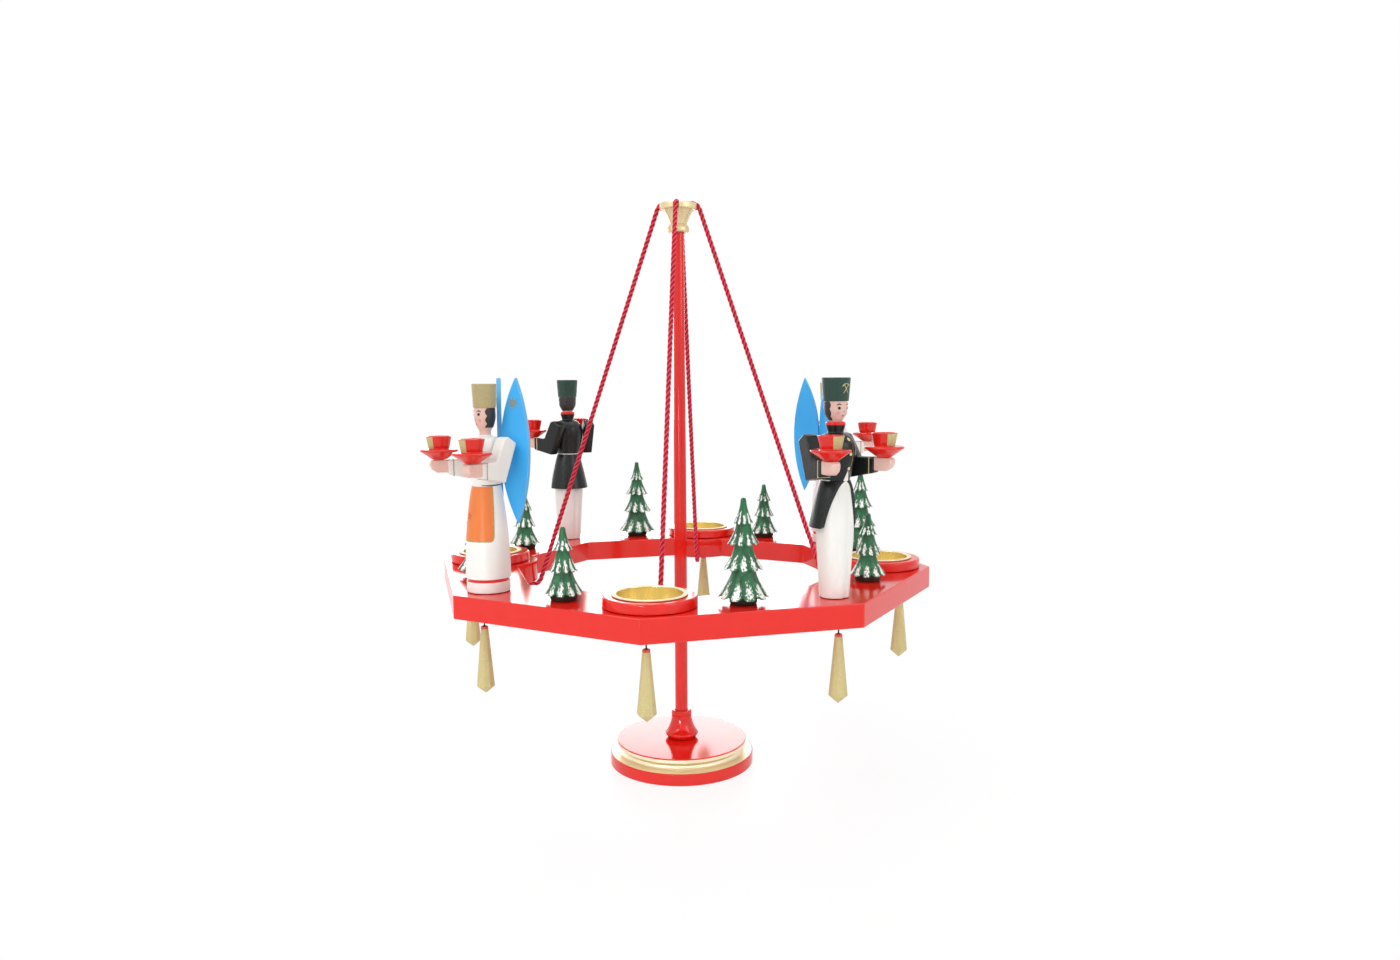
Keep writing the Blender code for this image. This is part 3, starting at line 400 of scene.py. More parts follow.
def sawn(outline, thickness, finish, edge_finish=None, edge=0.0):
    """A board cut to an outline of (x, z) points, with rounded edges."""
    shape = bmesh.new()
    face = shape.faces.new([shape.verts.new((x, -thickness / 2, z)) for x, z in outline])
    grown = bmesh.ops.extrude_face_region(shape, geom=[face])["geom"]
    far_side = [part for part in grown if isinstance(part, bmesh.types.BMVert)]
    bmesh.ops.translate(shape, vec=(0, thickness, 0), verts=far_side)
    bmesh.ops.recalc_face_normals(shape, faces=shape.faces)
    if edge:
        sharp = [e for e in shape.edges if e.calc_face_angle(0) > math.radians(35)]
        bmesh.ops.bevel(shape, geom=sharp, offset=edge, segments=3, profile=0.5, affect="EDGES",
                        clamp_overlap=True)
    bmesh.ops.recalc_face_normals(shape, faces=shape.faces)
    for face in shape.faces:
        side = abs(face.normal.y) < 0.9
        face.smooth = abs(face.normal.y) < 0.999
        face.material_index = FINISH_ORDER.index(edge_finish if side and edge_finish else finish)
    return shape


def painted(outline, surface, finish, cell=0.0009, depth=PAINT_DEPTH):
    """A thin painted patch: a flat outline of (across, up) points laid on a surface."""
    shape = bmesh.new()
    shape.faces.new([shape.verts.new((x, y, 0)) for x, y in outline])
    bmesh.ops.triangulate(shape, faces=shape.faces[:])
    while True:
        long_edges = [e for e in shape.edges if e.calc_length() > cell]
        if not long_edges:
            break
        bmesh.ops.subdivide_edges(shape, edges=long_edges, cuts=1)
        bmesh.ops.triangulate(shape, faces=[f for f in shape.faces if len(f.verts) > 3])
    grown = bmesh.ops.extrude_face_region(shape, geom=shape.faces[:])["geom"]
    top = {part for part in grown if isinstance(part, bmesh.types.BMVert)}
    for vert in shape.verts:
        vert.co = surface(vert.co.x, vert.co.y, depth if vert in top else -depth)
    for face in shape.faces:
        face.material_index = FINISH_ORDER.index(finish)
    return smooth(shape)


def rod(radius, bottom, top, sides):
    """A plain round cutter."""
    red = "red lacquer"
    return turned([(0, bottom, red), (radius, bottom, red), (radius, top, red), (0, top, red)], sides)


def on_turned(outline, reach):
    """A surface for paint on a turned shape, with across measured from the front at a reach."""
    stretches = list(zip(outline, outline[1:]))

    def place(across, up, depth):
        radius = 0.0
        for (r0, z0, *_), (r1, z1, *_) in stretches:
            if min(z0, z1) <= up <= max(z0, z1) and abs(z1 - z0) > WELD:
                radius = max(radius, r0 + (r1 - r0) * (up - z0) / (z1 - z0))
        return polar(radius + depth, across / reach, up)

    return place


def on_board(y, outward):
    """A surface for paint on the flat face of a board."""
    return lambda across, up, depth: Vector((across, y + outward * depth, up))


def dot(x, y, radius, count=18):
    """The outline of a round dab of paint."""
    angles = [2 * math.pi * i / count for i in range(count)]
    return [(x + radius * math.cos(angle), y + radius * math.sin(angle)) for angle in angles]


def stroke(points, width):
    """The outline of a brush stroke along points, with tapered ends."""
    left, right = [], []
    for i, point in enumerate(points):
        here = Vector(point)
        along = Vector(points[min(i + 1, len(points) - 1)]) - Vector(points[max(i - 1, 0)])
        across = Vector((-along.y, along.x)).normalized()
        end = i in (0, len(points) - 1)
        half = width * (0.25 if end else 0.5)
        left.append(tuple(here + across * half))
        right.append(tuple(here - across * half))
    return left + right[::-1]


def star(x, y, reach, width, strokes=4):
    """The outlines of a star's brush strokes, which cross at its middle."""
    outlines = []
    for i in range(strokes):
        ray = Vector((math.cos(math.pi * i / strokes), math.sin(math.pi * i / strokes))) * reach
        middle = Vector((x, y))
        outlines.append(stroke([middle - ray, middle, middle + ray], width))
    return outlines


def moved(shape, matrix):
    shape.transform(matrix)
    return shape


def as_object(name, shapes, place=None):
    """Joins shapes into one object at the origin, with only the finishes that it uses."""
    whole = bmesh.new()
    for shape in shapes:
        bmesh.ops.remove_doubles(shape, verts=shape.verts, dist=WELD / 2)
        bmesh.ops.recalc_face_normals(shape, faces=shape.faces)
        data = bpy.data.meshes.new(name)
        shape.to_mesh(data)
        shape.free()
        whole.from_mesh(data)
        bpy.data.meshes.remove(data)
    if place:
        whole.transform(place)
    used = sorted({face.material_index for face in whole.faces})
    for face in whole.faces:
        face.material_index = used.index(face.material_index)
    soft = [face.smooth for face in whole.faces]
    data = bpy.data.meshes.new(name)
    whole.to_mesh(data)
    whole.free()
    for number in used:
        data.materials.append(FINISHES[FINISH_ORDER[number]])
    data.set_sharp_from_angle(angle=SOFT_ANGLE)
    data.polygons.foreach_set("use_smooth", soft)
    piece = bpy.data.objects.new(name, data)
    bpy.context.scene.collection.objects.link(piece)
    return piece


def fixed(piece, body, node_name):
    """Lets a piece stand for its solid and move with that solid's body."""
    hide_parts(node_name)
    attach(piece, body)
    return piece


def baked(piece):
    """Replaces a piece's live modifiers by their result."""
    evaluated = piece.evaluated_get(bpy.context.evaluated_depsgraph_get())
    result = bpy.data.meshes.new_from_object(evaluated)
    piece.modifiers.clear()
    piece.data = result
    return piece


def cut(piece, cutters):
    """Cuts shapes out of a piece, then removes them."""
    tools = []
    for number, cutter in enumerate(cutters):
        tool = as_object(f"{piece.name}_cutter_{number}", [cutter])
        modifier = piece.modifiers.new(tool.name, "BOOLEAN")
        modifier.operation = "DIFFERENCE"
        modifier.solver = "EXACT"
        modifier.object = tool
        tools.append(tool)
    baked(piece)
    for tool in tools:
        bpy.data.objects.remove(tool, do_unlink=True)
    return piece


# Stand


def make_base():
    """The lacquered base. Its gilding is painted paler than the crown's as painted light, and darker deep
    in the cove as painted shade.
    """
    red, gold, cove_shade_gold = "red lacquer", "pale gilt", "drop gilt"
    foot = 0.0084
    cove = 0.0029
    neck = 0.0468
    top_radius = 0.0478
    socket, socket_depth = 0.00495, 0.010
    hollow = []
    for step in range(13):
        angle = math.radians(270 - 180 * step / 12)
        # Painted shade: darker gilding in the depth of the cove, where shade falls.
        finish = cove_shade_gold if 6 <= step <= 9 else gold
        hollow.append((neck + cove * math.cos(angle), foot + cove + cove * math.sin(angle), finish))
    outline = rounded([
        (0, 0, red),
        (BASE_RADIUS, 0, red, 0.0006),
        (BASE_RADIUS, foot, red, 0.0007),
        (BASE_RADIUS - 0.0011, foot, gold),
        *hollow,
        (top_radius, foot + 2 * cove, gold, 0.0004),
        (top_radius, BASE_TOP - 0.0008, red),
        (top_radius, BASE_TOP, red, 0.0005),
        (socket, BASE_TOP, red),
        (socket, BASE_TOP - socket_depth, red),
        (0, BASE_TOP - socket_depth, red),
    ])
    fixed(as_object("base_disc_lacquered", [turned(outline, 160)]), "stand", "base_disc")


def make_collar():
    """The flared collar round the foot of the post."""
    red = "red lacquer"
    bore = 0.00495
    foot_radius = 0.0122
    throat_radius = 0.0074
    top_radius = 0.0078
    foot = COLLAR_BOTTOM + 0.0034
    throat = COLLAR_TOP - 0.0034
    flare = []
    for step in range(17):
        rise = step / 16
        flare.append((throat_radius + (foot_radius - throat_radius) * (1 - rise) ** 2.1,
                      foot + (throat - foot) * rise, red))
    outline = rounded([
        (bore, COLLAR_BOTTOM, red),
        (foot_radius - 0.0021, COLLAR_BOTTOM, red, 0.0004),
        (foot_radius, foot - 0.0007, red, 0.0006),
        *flare,
        (top_radius - 0.0003, throat + 0.0007, red, 0.0009),
        (top_radius - 0.0004, COLLAR_TOP, red, 0.0012),
        (bore, COLLAR_TOP, red),
    ])
    collar = as_object("foot_collar_lacquered", [turned(outline, 96, hollow=True)])
    fixed(collar, "stand", "foot_collar")


def make_post():
    """The post, which tapers from the height of the ring up to its tip."""
    red = "red lacquer"
    radius, tip, taper_start = 0.00465, 0.0039, 0.1715
    outline = rounded([
        (0, POST_BOTTOM, red),
        (radius, POST_BOTTOM, red, 0.0006),
        (radius, taper_start, red, 0.05),
        (tip, CROWN_BOTTOM - 0.010, red, 0.004),
        (tip, POST_TOP, red, 0.0006),
        (0, POST_TOP, red),
    ], 8)
    fixed(as_object("post_lacquered", [turned(outline, 64)]), "stand", "post")


def make_crown():
    """The gilded crown, with a dished top and a notch in its rim for each cord."""
    gold = "gilt"
    bore = 0.0042
    bead = 0.0078
    neck = 0.0061
    cone = 0.0104
    neck_height = CROWN_BOTTOM + 0.0058
    socket_roof = CROWN_BOTTOM + 0.0088
    rim_height = 0.0043
    rim = CROWN_TOP - rim_height
    dish = 0.0086
    dish_floor = CROWN_TOP - 0.0039
    flare = []
    for step in range(13):
        rise = step / 12
        flare.append((neck + (cone - neck) * rise**1.2, neck_height + (rim - neck_height) * rise, gold))
    outline = rounded([
        (0, socket_roof, gold),
        (bore, socket_roof, gold),
        (bore, CROWN_BOTTOM, gold, 0.0003),
        (bead, CROWN_BOTTOM, gold, 0.0012),
        (bead, CROWN_BOTTOM + 0.0032, gold, 0.0012),
        *flare,
        (CROWN_RADIUS, rim, gold, 0.0008),
        (CROWN_RADIUS, CROWN_TOP, gold, 0.0008),
        (dish, CROWN_TOP, gold, 0.0006),
        (dish, dish_floor, gold, 0.0006),
        (0, dish_floor, gold),
    ])
    crown = as_object("crown_gilded", [turned(outline, 96)])
    notch = [
        (0.0070, dish_floor + 0.0013),
        (0.0102, dish_floor + 0.0013),
        (0.0127, rim - FIT),
        (0.0151, rim - FIT),
        (0.0151, CROWN_TOP + rim_height),
        (0.0070, CROWN_TOP + rim_height),
    ]
    width = CORD_DIAMETER + 2 * CORD_CLEARANCE
    cutters = []
    for azimuth in QUARTERS.values():
        turn = Matrix.Rotation(azimuth - math.pi / 2, 4, "Z")
        cutters.append(moved(sawn(notch, width, gold), turn))
    cut(crown, cutters)
    crown.data.set_sharp_from_angle(angle=SOFT_ANGLE)
    fixed(crown, "crown", "crown")


# Cords


def smooth_route(route, step):
    """Evenly close points on a smooth curve through a cord's route."""
    line = []
    ends = [route[0], *route, route[-1]]
    for before, start, end, after in zip(ends, ends[1:], ends[2:], ends[3:]):
        a, b, c, d = (Vector(p) for p in (before, start, end, after))
        run = (c - b).length
        leave, arrive = (c - a).normalized() * run, (d - b).normalized() * run
        samples = max(2, round(run / step))
        for i in range(samples):
            t = i / samples
            line.append(b * (2 * t**3 - 3 * t**2 + 1) + leave * (t**3 - 2 * t**2 + t)
                        + c * (3 * t**2 - 2 * t**3) + arrive * (t**3 - t**2))
    line.append(Vector(route[-1]))
    return line


def twist_tree():
    """Geometry nodes that lay strands in a helix along a path.

    Each point keeps its distance from the path in the attribute away, for the yarn's painted shade between
    strands and painted highlights on their crests.
    """
    tree = bpy.data.node_groups.new("twisted cord", "GeometryNodeTree")
    sockets = {}
    sizes = {"Strand Radius": 0.0007, "Lay Radius": 0.0009, "Lay Length": CORD_LAY, "Spacing": 0.0009}
    tree.interface.new_socket("Path", in_out="INPUT", socket_type="NodeSocketGeometry")
    for name, value in sizes.items():
        socket = tree.interface.new_socket(name, in_out="INPUT", socket_type="NodeSocketFloat")
        socket.default_value = value
        sockets[name] = socket.identifier
    tree.interface.new_socket("Cord", in_out="OUTPUT", socket_type="NodeSocketGeometry")
    add, join = tree.nodes.new, tree.links.new
    given, result = add("NodeGroupInput"), add("NodeGroupOutput")

    # The path, in even steps, with its own place marked on it
    curve, even = add("GeometryNodeMeshToCurve"), add("GeometryNodeResampleCurve")
    even.mode = "LENGTH"
    join(given.outputs["Path"], curve.inputs["Mesh"])
    join(curve.outputs["Curve"], even.inputs["Curve"])
    join(given.outputs["Spacing"], even.inputs["Length"])
    place, marked = add("GeometryNodeInputPosition"), add("GeometryNodeStoreNamedAttribute")
    marked.data_type = "FLOAT_VECTOR"
    marked.inputs["Name"].default_value = "axis"
    join(even.outputs["Curve"], marked.inputs["Geometry"])
    join(place.outputs["Position"], marked.inputs["Value"])

    # The directions across the path and the turns along it
    normal, tangent = add("GeometryNodeInputNormal"), add("GeometryNodeInputTangent")
    along = add("GeometryNodeSplineParameter")
    side = add("ShaderNodeVectorMath")
    side.operation = "CROSS_PRODUCT"
    join(tangent.outputs["Tangent"], side.inputs[0])
    join(normal.outputs["Normal"], side.inputs[1])
    turns = math_node(tree, "DIVIDE", along.outputs["Length"], given.outputs["Lay Length"])
    circle = add("GeometryNodeCurvePrimitiveCircle")
    circle.inputs["Resolution"].default_value = 10
    join(given.outputs["Strand Radius"], circle.inputs["Radius"])

    strands = add("GeometryNodeJoinGeometry")
    for number in range(CORD_STRANDS):
        start = 2 * math.pi * number / CORD_STRANDS
        angle = math_node(tree, "MULTIPLY_ADD", turns, 2 * math.pi, start)
        offset = add("ShaderNodeVectorMath")
        waves = (("COSINE", normal.outputs["Normal"]), ("SINE", side.outputs["Vector"]))
        for slot, (operation, direction) in zip(offset.inputs, waves):
            wave = math_node(tree, operation, angle)
            arm = add("ShaderNodeVectorMath")
            arm.operation = "SCALE"
            join(direction, arm.inputs[0])
            join(math_node(tree, "MULTIPLY", wave, given.outputs["Lay Radius"]), arm.inputs["Scale"])
            join(arm.outputs["Vector"], slot)
        placed, tube = add("GeometryNodeSetPosition"), add("GeometryNodeCurveToMesh")
        tube.inputs["Fill Caps"].default_value = True
        join(marked.outputs["Geometry"], placed.inputs["Geometry"])
        join(offset.outputs["Vector"], placed.inputs["Offset"])
        join(placed.outputs["Geometry"], tube.inputs["Curve"])
        join(circle.outputs["Curve"], tube.inputs["Profile Curve"])
        join(tube.outputs["Mesh"], strands.inputs["Geometry"])

    axis, depth = add("GeometryNodeInputNamedAttribute"), add("ShaderNodeVectorMath")
    axis.data_type = "FLOAT_VECTOR"
    axis.inputs["Name"].default_value = "axis"
    depth.operation = "DISTANCE"
    join(place.outputs["Position"], depth.inputs[0])
    join(axis.outputs["Attribute"], depth.inputs[1])
    away = add("GeometryNodeStoreNamedAttribute")
    away.inputs["Name"].default_value = "away"
    join(depth.outputs["Value"], away.inputs["Value"])
    rounding, real = add("GeometryNodeSetShadeSmooth"), add("GeometryNodeRealizeInstances")
    dressed = add("GeometryNodeSetMaterial")
    dressed.inputs["Material"].default_value = FINISHES["crimson yarn"]
    chain = (strands, away, rounding, real, dressed)
    for before, after in zip(chain, chain[1:]):
        join(before.outputs["Geometry"], after.inputs["Geometry"])
    join(dressed.outputs["Geometry"], result.inputs["Cord"])
    return tree, sockets


def twisted(name, path, tree, sockets, thickness):
    """A twisted cord of a thickness along a path, of soft strands that press into each other."""
    data = bpy.data.meshes.new(name)
    data.from_pydata(path, [(i, i + 1) for i in range(len(path) - 1)], [])
    piece = bpy.data.objects.new(name, data)
    bpy.context.scene.collection.objects.link(piece)
    modifier = piece.modifiers.new("twist", "NODES")
    modifier.node_group = tree
    modifier[sockets["Strand Radius"]] = thickness * STRAND_SHARE
    modifier[sockets["Lay Radius"]] = thickness * LAY_SHARE
    modifier[sockets["Lay Length"]] = CORD_LAY * thickness / CORD_DIAMETER
    return baked(piece)


def make_cords():
    """The four cords, and the knot in the crown's dish that ties them together."""
    tree, sockets = twist_tree()
    line = smooth_route(CORD_ROUTE, 0.004)
    for side, azimuth in QUARTERS.items():
        path = [polar(radius, azimuth, height) for radius, height in line]
        cord = twisted(f"cord_{side}_twisted", path, tree, sockets, CORD_DIAMETER)
        fixed(cord, "ring", f"cord_{side}")
    loop = []
    middle = (KNOT_BOTTOM + KNOT_TOP) / 2
    for step in range(121):
        t = 2 * math.pi * step / 120
        reach = 0.0021 + 0.0010 * math.cos(3 * t)
        height = middle + 0.0011 * math.sin(3 * t)
        loop.append(Vector((reach * math.cos(2 * t), reach * math.sin(2 * t), height)))
    knot = twisted("cord_knot_tied", loop, tree, sockets, KNOT_CORD)
    fixed(knot, "cord_knot", "cord_knot")


# Ring


def inner_edge():
    """The ring's inner outline: an octagon with a round lobe under every tea light."""
    points = []
    for corner in range(8):
        azimuth = corner * CORNER
        if corner % 2:
            points.append(polar(RING_INNER_CORNER_RADIUS, azimuth).xy)
            continue
        tip = Vector((RING_INNER_CORNER_RADIUS, 0))
        next_tip = Vector((math.cos(CORNER), math.sin(CORNER))) * RING_INNER_CORNER_RADIUS
        along = (next_tip - tip).normalized()
        centre = Vector((LOBE_STATION, 0))
        foot = (centre - tip).dot(along)
        reach = math.sqrt(LOBE_RADIUS**2 - (centre - tip - along * foot).length_squared)
        meet = tip + along * (foot + reach) - centre
        half = math.atan2(meet.y, meet.x)
        for step in range(33):
            angle = 2 * math.pi - half + (2 * half - 2 * math.pi) * step / 32
            point = centre + Vector((math.cos(angle), math.sin(angle))) * LOBE_RADIUS
            points.append(Matrix.Rotation(azimuth - math.pi / 2, 2) @ point)
    return points


def make_ring():
    """The lacquered board, with softened edges, pockets for tea lights and holes for cords."""
    shape = bmesh.new()
    edges = []
    outer_edge = [polar(RING_CORNER_RADIUS, CORNER * i).xy for i in range(8)]
    for loop in (outer_edge, inner_edge()):
        verts = [shape.verts.new((x, y, RING_TOP)) for x, y in loop]
        edges += [shape.edges.new((a, b)) for a, b in zip(verts, verts[1:] + verts[:1])]
    bmesh.ops.triangle_fill(shape, edges=edges, use_beauty=True, normal=(0, 0, 1))
    grown = bmesh.ops.extrude_face_region(shape, geom=shape.faces[:])["geom"]
    lowered = [part for part in grown if isinstance(part, bmesh.types.BMVert)]
    bmesh.ops.translate(shape, vec=(0, 0, RING_UNDERSIDE - RING_TOP), verts=lowered)
    bmesh.ops.recalc_face_normals(shape, faces=shape.faces)
    bmesh.ops.dissolve_limit(shape, angle_limit=0.001, verts=shape.verts, edges=shape.edges)
    sharp = [e for e in shape.edges if e.calc_face_angle(0) > math.radians(30)]
    bmesh.ops.bevel(shape, geom=sharp, offset=0.0006, segments=3, profile=0.5, affect="EDGES",
                    clamp_overlap=True)
    for face in shape.faces:
        face.material_index = FINISH_ORDER.index("red lacquer")
    ring = as_object("octagon_ring_lacquered", [shape])
    pocket = INSERT_RADIUS + FIT
    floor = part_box("tealight_insert_front")[0][2] - FIT
    entry, end = (Vector(point) for point in CORD_ROUTE[-2:])
    run = (end - entry).normalized()
    drill = CORD_DIAMETER / 2 + CORD_CLEARANCE
    depth = (end - entry).length + CORD_CLEARANCE
    cutters = []
    for azimuth in QUARTERS.values():
        spot = Matrix.Translation(polar(TEALIGHT_STATION, azimuth))
        cutters.append(moved(rod(pocket, floor, RING_TOP + 0.01, 64), spot))
        heading = polar(run.x, azimuth, run.y).to_track_quat("Z", "Y").to_matrix().to_4x4()
        hole = Matrix.Translation(polar(entry.x, azimuth, entry.y)) @ heading
        cutters.append(moved(rod(drill, -drill, depth, 32), hole))
    cut(ring, cutters)
    ring.data.set_sharp_from_angle(angle=math.radians(30))
    for face in ring.data.polygons:
        face.use_smooth = abs(face.normal.z) < 0.999 and face.area < 0.0003
    fixed(ring, "ring", "octagon_ring")


def make_tealights():
    """The raised collars and the spun inserts, whose wide lips are painted a creamy white as a painted
    highlight standing for the glare on their brass.
    """
    red, brass, cream = "red lacquer", "brass", "cream"
    low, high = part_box("tealight_ring_front")
    bottom, top = low[2] - RING_TOP, high[2] - RING_TOP
    radius = (high[0] - low[0]) / 2
    bore = INSERT_RADIUS + FIT
    collar = rounded([
        (bore, bottom, red),
        (radius, bottom, red, 0.0005),
        (radius, top, red, 0.0013),
        (bore, top, red, 0.0004),
        (bore, bottom, red),
    ])[:-1]
    low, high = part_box("tealight_insert_front")
    floor, rim = low[2] - RING_TOP, high[2] - RING_TOP
    lip = (high[0] - low[0]) / 2
    wall = 0.0006
    insert = rounded([
        (0, floor, brass),
        (INSERT_RADIUS, floor, brass, 0.0009),
        (INSERT_RADIUS, rim - wall, brass),
        # Painted highlight: the lip's creamy white stands for the glare on the brass.
        (lip, rim - wall, cream, 0.0002),
        (lip, rim, cream, 0.0002),
        (INSERT_RADIUS - wall, rim, brass, 0.0004),
        (INSERT_RADIUS - wall, floor + wall, brass, 0.0009),
        (0, floor + wall, brass),
    ])
    for side, azimuth in QUARTERS.items():
        place = on_ring(TEALIGHT_STATION, azimuth)
        collar_name, insert_name = f"tealight_ring_{side}", f"tealight_insert_{side}"
        raised = as_object(f"{collar_name}_lacquered", [turned(collar, 96, hollow=True)], place)
        fixed(raised, "ring", collar_name)
        spun = as_object(f"{insert_name}_spun", [turned(insert, 96)], place)
        fixed(spun, insert_name, insert_name)


# Fir trees


def fir(tiers, hems, seed, boughs=10, around=150):
    """A carved fir tree: flared tiers whose hems are cut into boughs, brushed with white that stays out of
    the notches between boughs as painted shade.
    """
    shape = bmesh.new()
    snow_and_notch_shade = shape.verts.layers.float.new("snow_and_notch_shade")
    stump_height, stump = 0.0040, 0.0085
    notch_depth, notch_rise, unevenness = 0.19, 0.0017, 0.00028
    level = stump_height + sum(tiers)
    rings = [(0.0009, level - 0.0003, 0.2, 0), (0.0015, level - 0.0009, 0.2, 0)]
    throat = 0.0017
    for number, (tier, hem) in enumerate(zip(tiers, hems)):
        top = level if number else level - 0.0016
        level -= tier
        inside = hems[number + 1] * 0.45 if number + 1 < len(hems) else stump
        for step in range(1 if number else 0, 17):
            t = step / 16
            rings.append((throat + (hem - throat) * t**1.6, top + (level - top) * t, t, number))
        rings.append((hem * 0.95, level + 0.0001, 1.0, number))
        rings.append((inside, level + 0.0014, 0.0, number))
        throat = inside
    rings.append((stump * 0.97, FIT + 0.0006, -1.0, len(hems)))
    rings.append((stump * 0.92, FIT, -1.0, len(hems)))
    loops = []
    for radius, height, flare, number in rings:
        loop = []
        for i in range(around):
            angle = 2 * math.pi * i / around
            lobe = abs(math.cos(boughs * (angle + number * 0.37 + seed) / 2))
            cutting = max(flare, 0.0) ** 1.2 * (1 - lobe) ** 1.6
            spot = Vector((math.cos(angle), math.sin(angle), height * 60 + seed))
            wobble = unevenness * noise.noise(spot * 2.2) * smoothstep(0.0, 0.004, radius)
            r = radius * (1 - notch_depth * cutting) + wobble
            z = height + notch_rise * cutting
            vert = shape.verts.new((r * math.cos(angle), r * math.sin(angle), z))
            patchy = 0.5 + 0.5 * noise.noise(spot * 3.1)
            # Painted shade: the lobe term keeps white out of the notches between boughs, so they stay dark
            # green; the white also thins at the very hem.
            brushed = smoothstep(0.1, 0.75, flare) * (1 - 0.35 * smoothstep(0.93, 1.0, flare))
            vert[snow_and_notch_shade] = brushed * (0.22 + 0.78 * lobe**1.5) * (0.38 + 0.62 * patchy)
            loop.append(vert)
        loops.append(loop)
    tip = shape.verts.new((0, 0, rings[0][1] + 0.0003))
    tip[snow_and_notch_shade] = 0.6
    bark, green = FINISH_ORDER.index("bark"), FINISH_ORDER.index("fir")
    shape.faces.new(loops[-1]).material_index = bark
    for i in range(around):
        j = (i + 1) % around
        shape.faces.new((tip, loops[0][i], loops[0][j])).material_index = green
        for number, (upper, lower) in enumerate(zip(loops, loops[1:])):
            face = shape.faces.new((upper[i], lower[i], lower[j], upper[j]))
            face.material_index = bark if number >= len(loops) - 4 else green
    return smooth(shape)


def make_trees():
    """Four tall and four short trees. Each size has its tiers, its hems and its first corner."""
    sizes = {
        "large": ((0.0153, 0.0124, 0.0149, 0.0171), (0.0059, 0.0096, 0.0120, 0.0157), 0.5),
        "small": ((0.0141, 0.0130, 0.0139), (0.0061, 0.0087, 0.0122), 1.5),
    }
    for word, (tiers, hems, first) in sizes.items():
        for number in range(4):
            name = f"tree_{word}_{number + 1}"
            place = on_ring(TREE_STATION, CORNER * (first + 2 * number))
            tree = as_object(f"{name}_carved", [fir(tiers, hems, 1.3 * number + first)], place)
            fixed(tree, "ring", name)


def make_drops():
    """Faceted gilded drops on short wires under the corners."""
    gold, red, wire = "drop gilt", "drop red", "dark wire"
    top, length, tip = -0.0076, 0.0440, 0.0052
    outline = [
        (0, -FIT, wire),
        (0.0005, -FIT, wire),
        (0.0005, top + 0.0006, wire),
        (0.0011, top + 0.0003, wire),
        (0.0011, top, red),
        (0.0024, top, red),
        (0.0025, top - 0.0016, gold),
        (0.0060, top - length + tip, gold),
        (0, top - length, gold),
    ]
    for number in range(8):
        name = f"drop_{number + 1}"
        shape = turned(outline, 8)
        bmesh.ops.recalc_face_normals(shape, faces=shape.faces)
        ridges = [e for e in shape.edges if e.is_manifold and e.calc_face_angle(0) > math.radians(20)
                  and max(v.co.xy.length for v in e.verts) > 0.002]
        bmesh.ops.bevel(shape, geom=ridges, offset=0.00025, segments=2, profile=0.5, affect="EDGES",
                        material=-1)
        place = on_ring(DROP_STATION, CORNER * number, RING_UNDERSIDE)
        drop = as_object(f"{name}_gilded", [shape], place)
        drop.data.set_sharp_from_angle(angle=math.radians(14))
        fixed(drop, name, name)


# Figures


def arm_frame(size, side):
    """The frame of an arm, whose x runs from the shoulder out to the hand."""
    offset = size["chest"] + FIT + ARM_THICKNESS / 2
    splay = Matrix.Rotation(side * ARM_SPLAY - math.pi / 2, 4, "Z")
    return splay @ Matrix.Translation((0, side * offset, 0))


def arm(size, side, sleeve, line):
    """A flat bent sleeve with a hand at its end and a painted line at the cuff."""
    forearm, upper, hand = 0.0095, 0.0100, 0.0120
    top = size["hand"] - FIT
    end = size["reach"] + hand / 2
    elbow = size["reach"] - 2 * hand
    cuff = end - hand * 0.92
    back = elbow - upper
    shoulder = size["shoulder"]
    low = top - forearm
    rise = 0.0040
    sleeve_outline = [
        (elbow, low - rise),
        (cuff, low),
        (cuff, top),
        (elbow + upper * 0.75, top),
        (back + upper * 1.05, shoulder - upper * 0.1),
        (back + upper * 0.7, shoulder),
        (back, shoulder - upper * 0.42),
    ]
    hand_low = top - forearm * 0.86
    hand_outline = [
        (cuff - 0.002, hand_low),
        (end - 0.0042, hand_low),
        (end - 0.0012, hand_low + 0.0020),
        (end, hand_low + 0.0046),
        (end, top - 0.0012),
        (end - 0.0012, top),
        (cuff - 0.002, top),
    ]
    stripe = cuff - 0.0036
    proud = PAINT_DEPTH
    stripe_outline = [
        (stripe, low - rise * 0.21 - proud),
        (stripe + 0.0006, low - rise * 0.18 - proud),
        (stripe + 0.0006, top + proud),
        (stripe, top + proud),
    ]
    shapes = [
        sawn(sleeve_outline, ARM_THICKNESS, sleeve, edge=0.0009),
        sawn(hand_outline, ARM_THICKNESS - 0.0012, "skin", edge=0.0013),
        sawn(stripe_outline, ARM_THICKNESS + 2 * proud, line),
    ]
    place = arm_frame(size, side)
    return [moved(shape, place) for shape in shapes]


CUP_WALL = ((0.0063, 0.0066), (0.0079, 0.0148))
CUP_PROFILE = (
    (0, 0),
    (0.0045, 0, 0.0005),
    (0.0123, 0.0054, 0.0007),
    (0.0117, 0.0066, 0.0007),
    (0.0095, 0.0062, 0.0008),
    (*CUP_WALL[0], 0.0005),
    (*CUP_WALL[1], 0.0005),
    (0.0067, 0.0148, 0.0004),
    (0.0052, 0.0078, 0.0006),
    (0, 0.0078),
)


def cup(size, side):
    """A turned candle cup on its saucer, with a gilt patch on the side that faces out."""
    outline = rounded([(radius, height, "red lacquer", *corner) for radius, height, *corner in CUP_PROFILE])
    patch = [(-0.0043, 0.0069), (0.0043, 0.0069), (0.0045, 0.0144), (-0.0045, 0.0144)]
    shapes = [turned(outline, 64), painted(patch, on_turned(CUP_WALL, 0.0072), "drop gilt", 0.0008)]
    spot = arm_frame(size, side) @ Vector((size["reach"], 0, size["hand"]))
    return [moved(shape, Matrix.Translation(spot)) for shape in shapes]


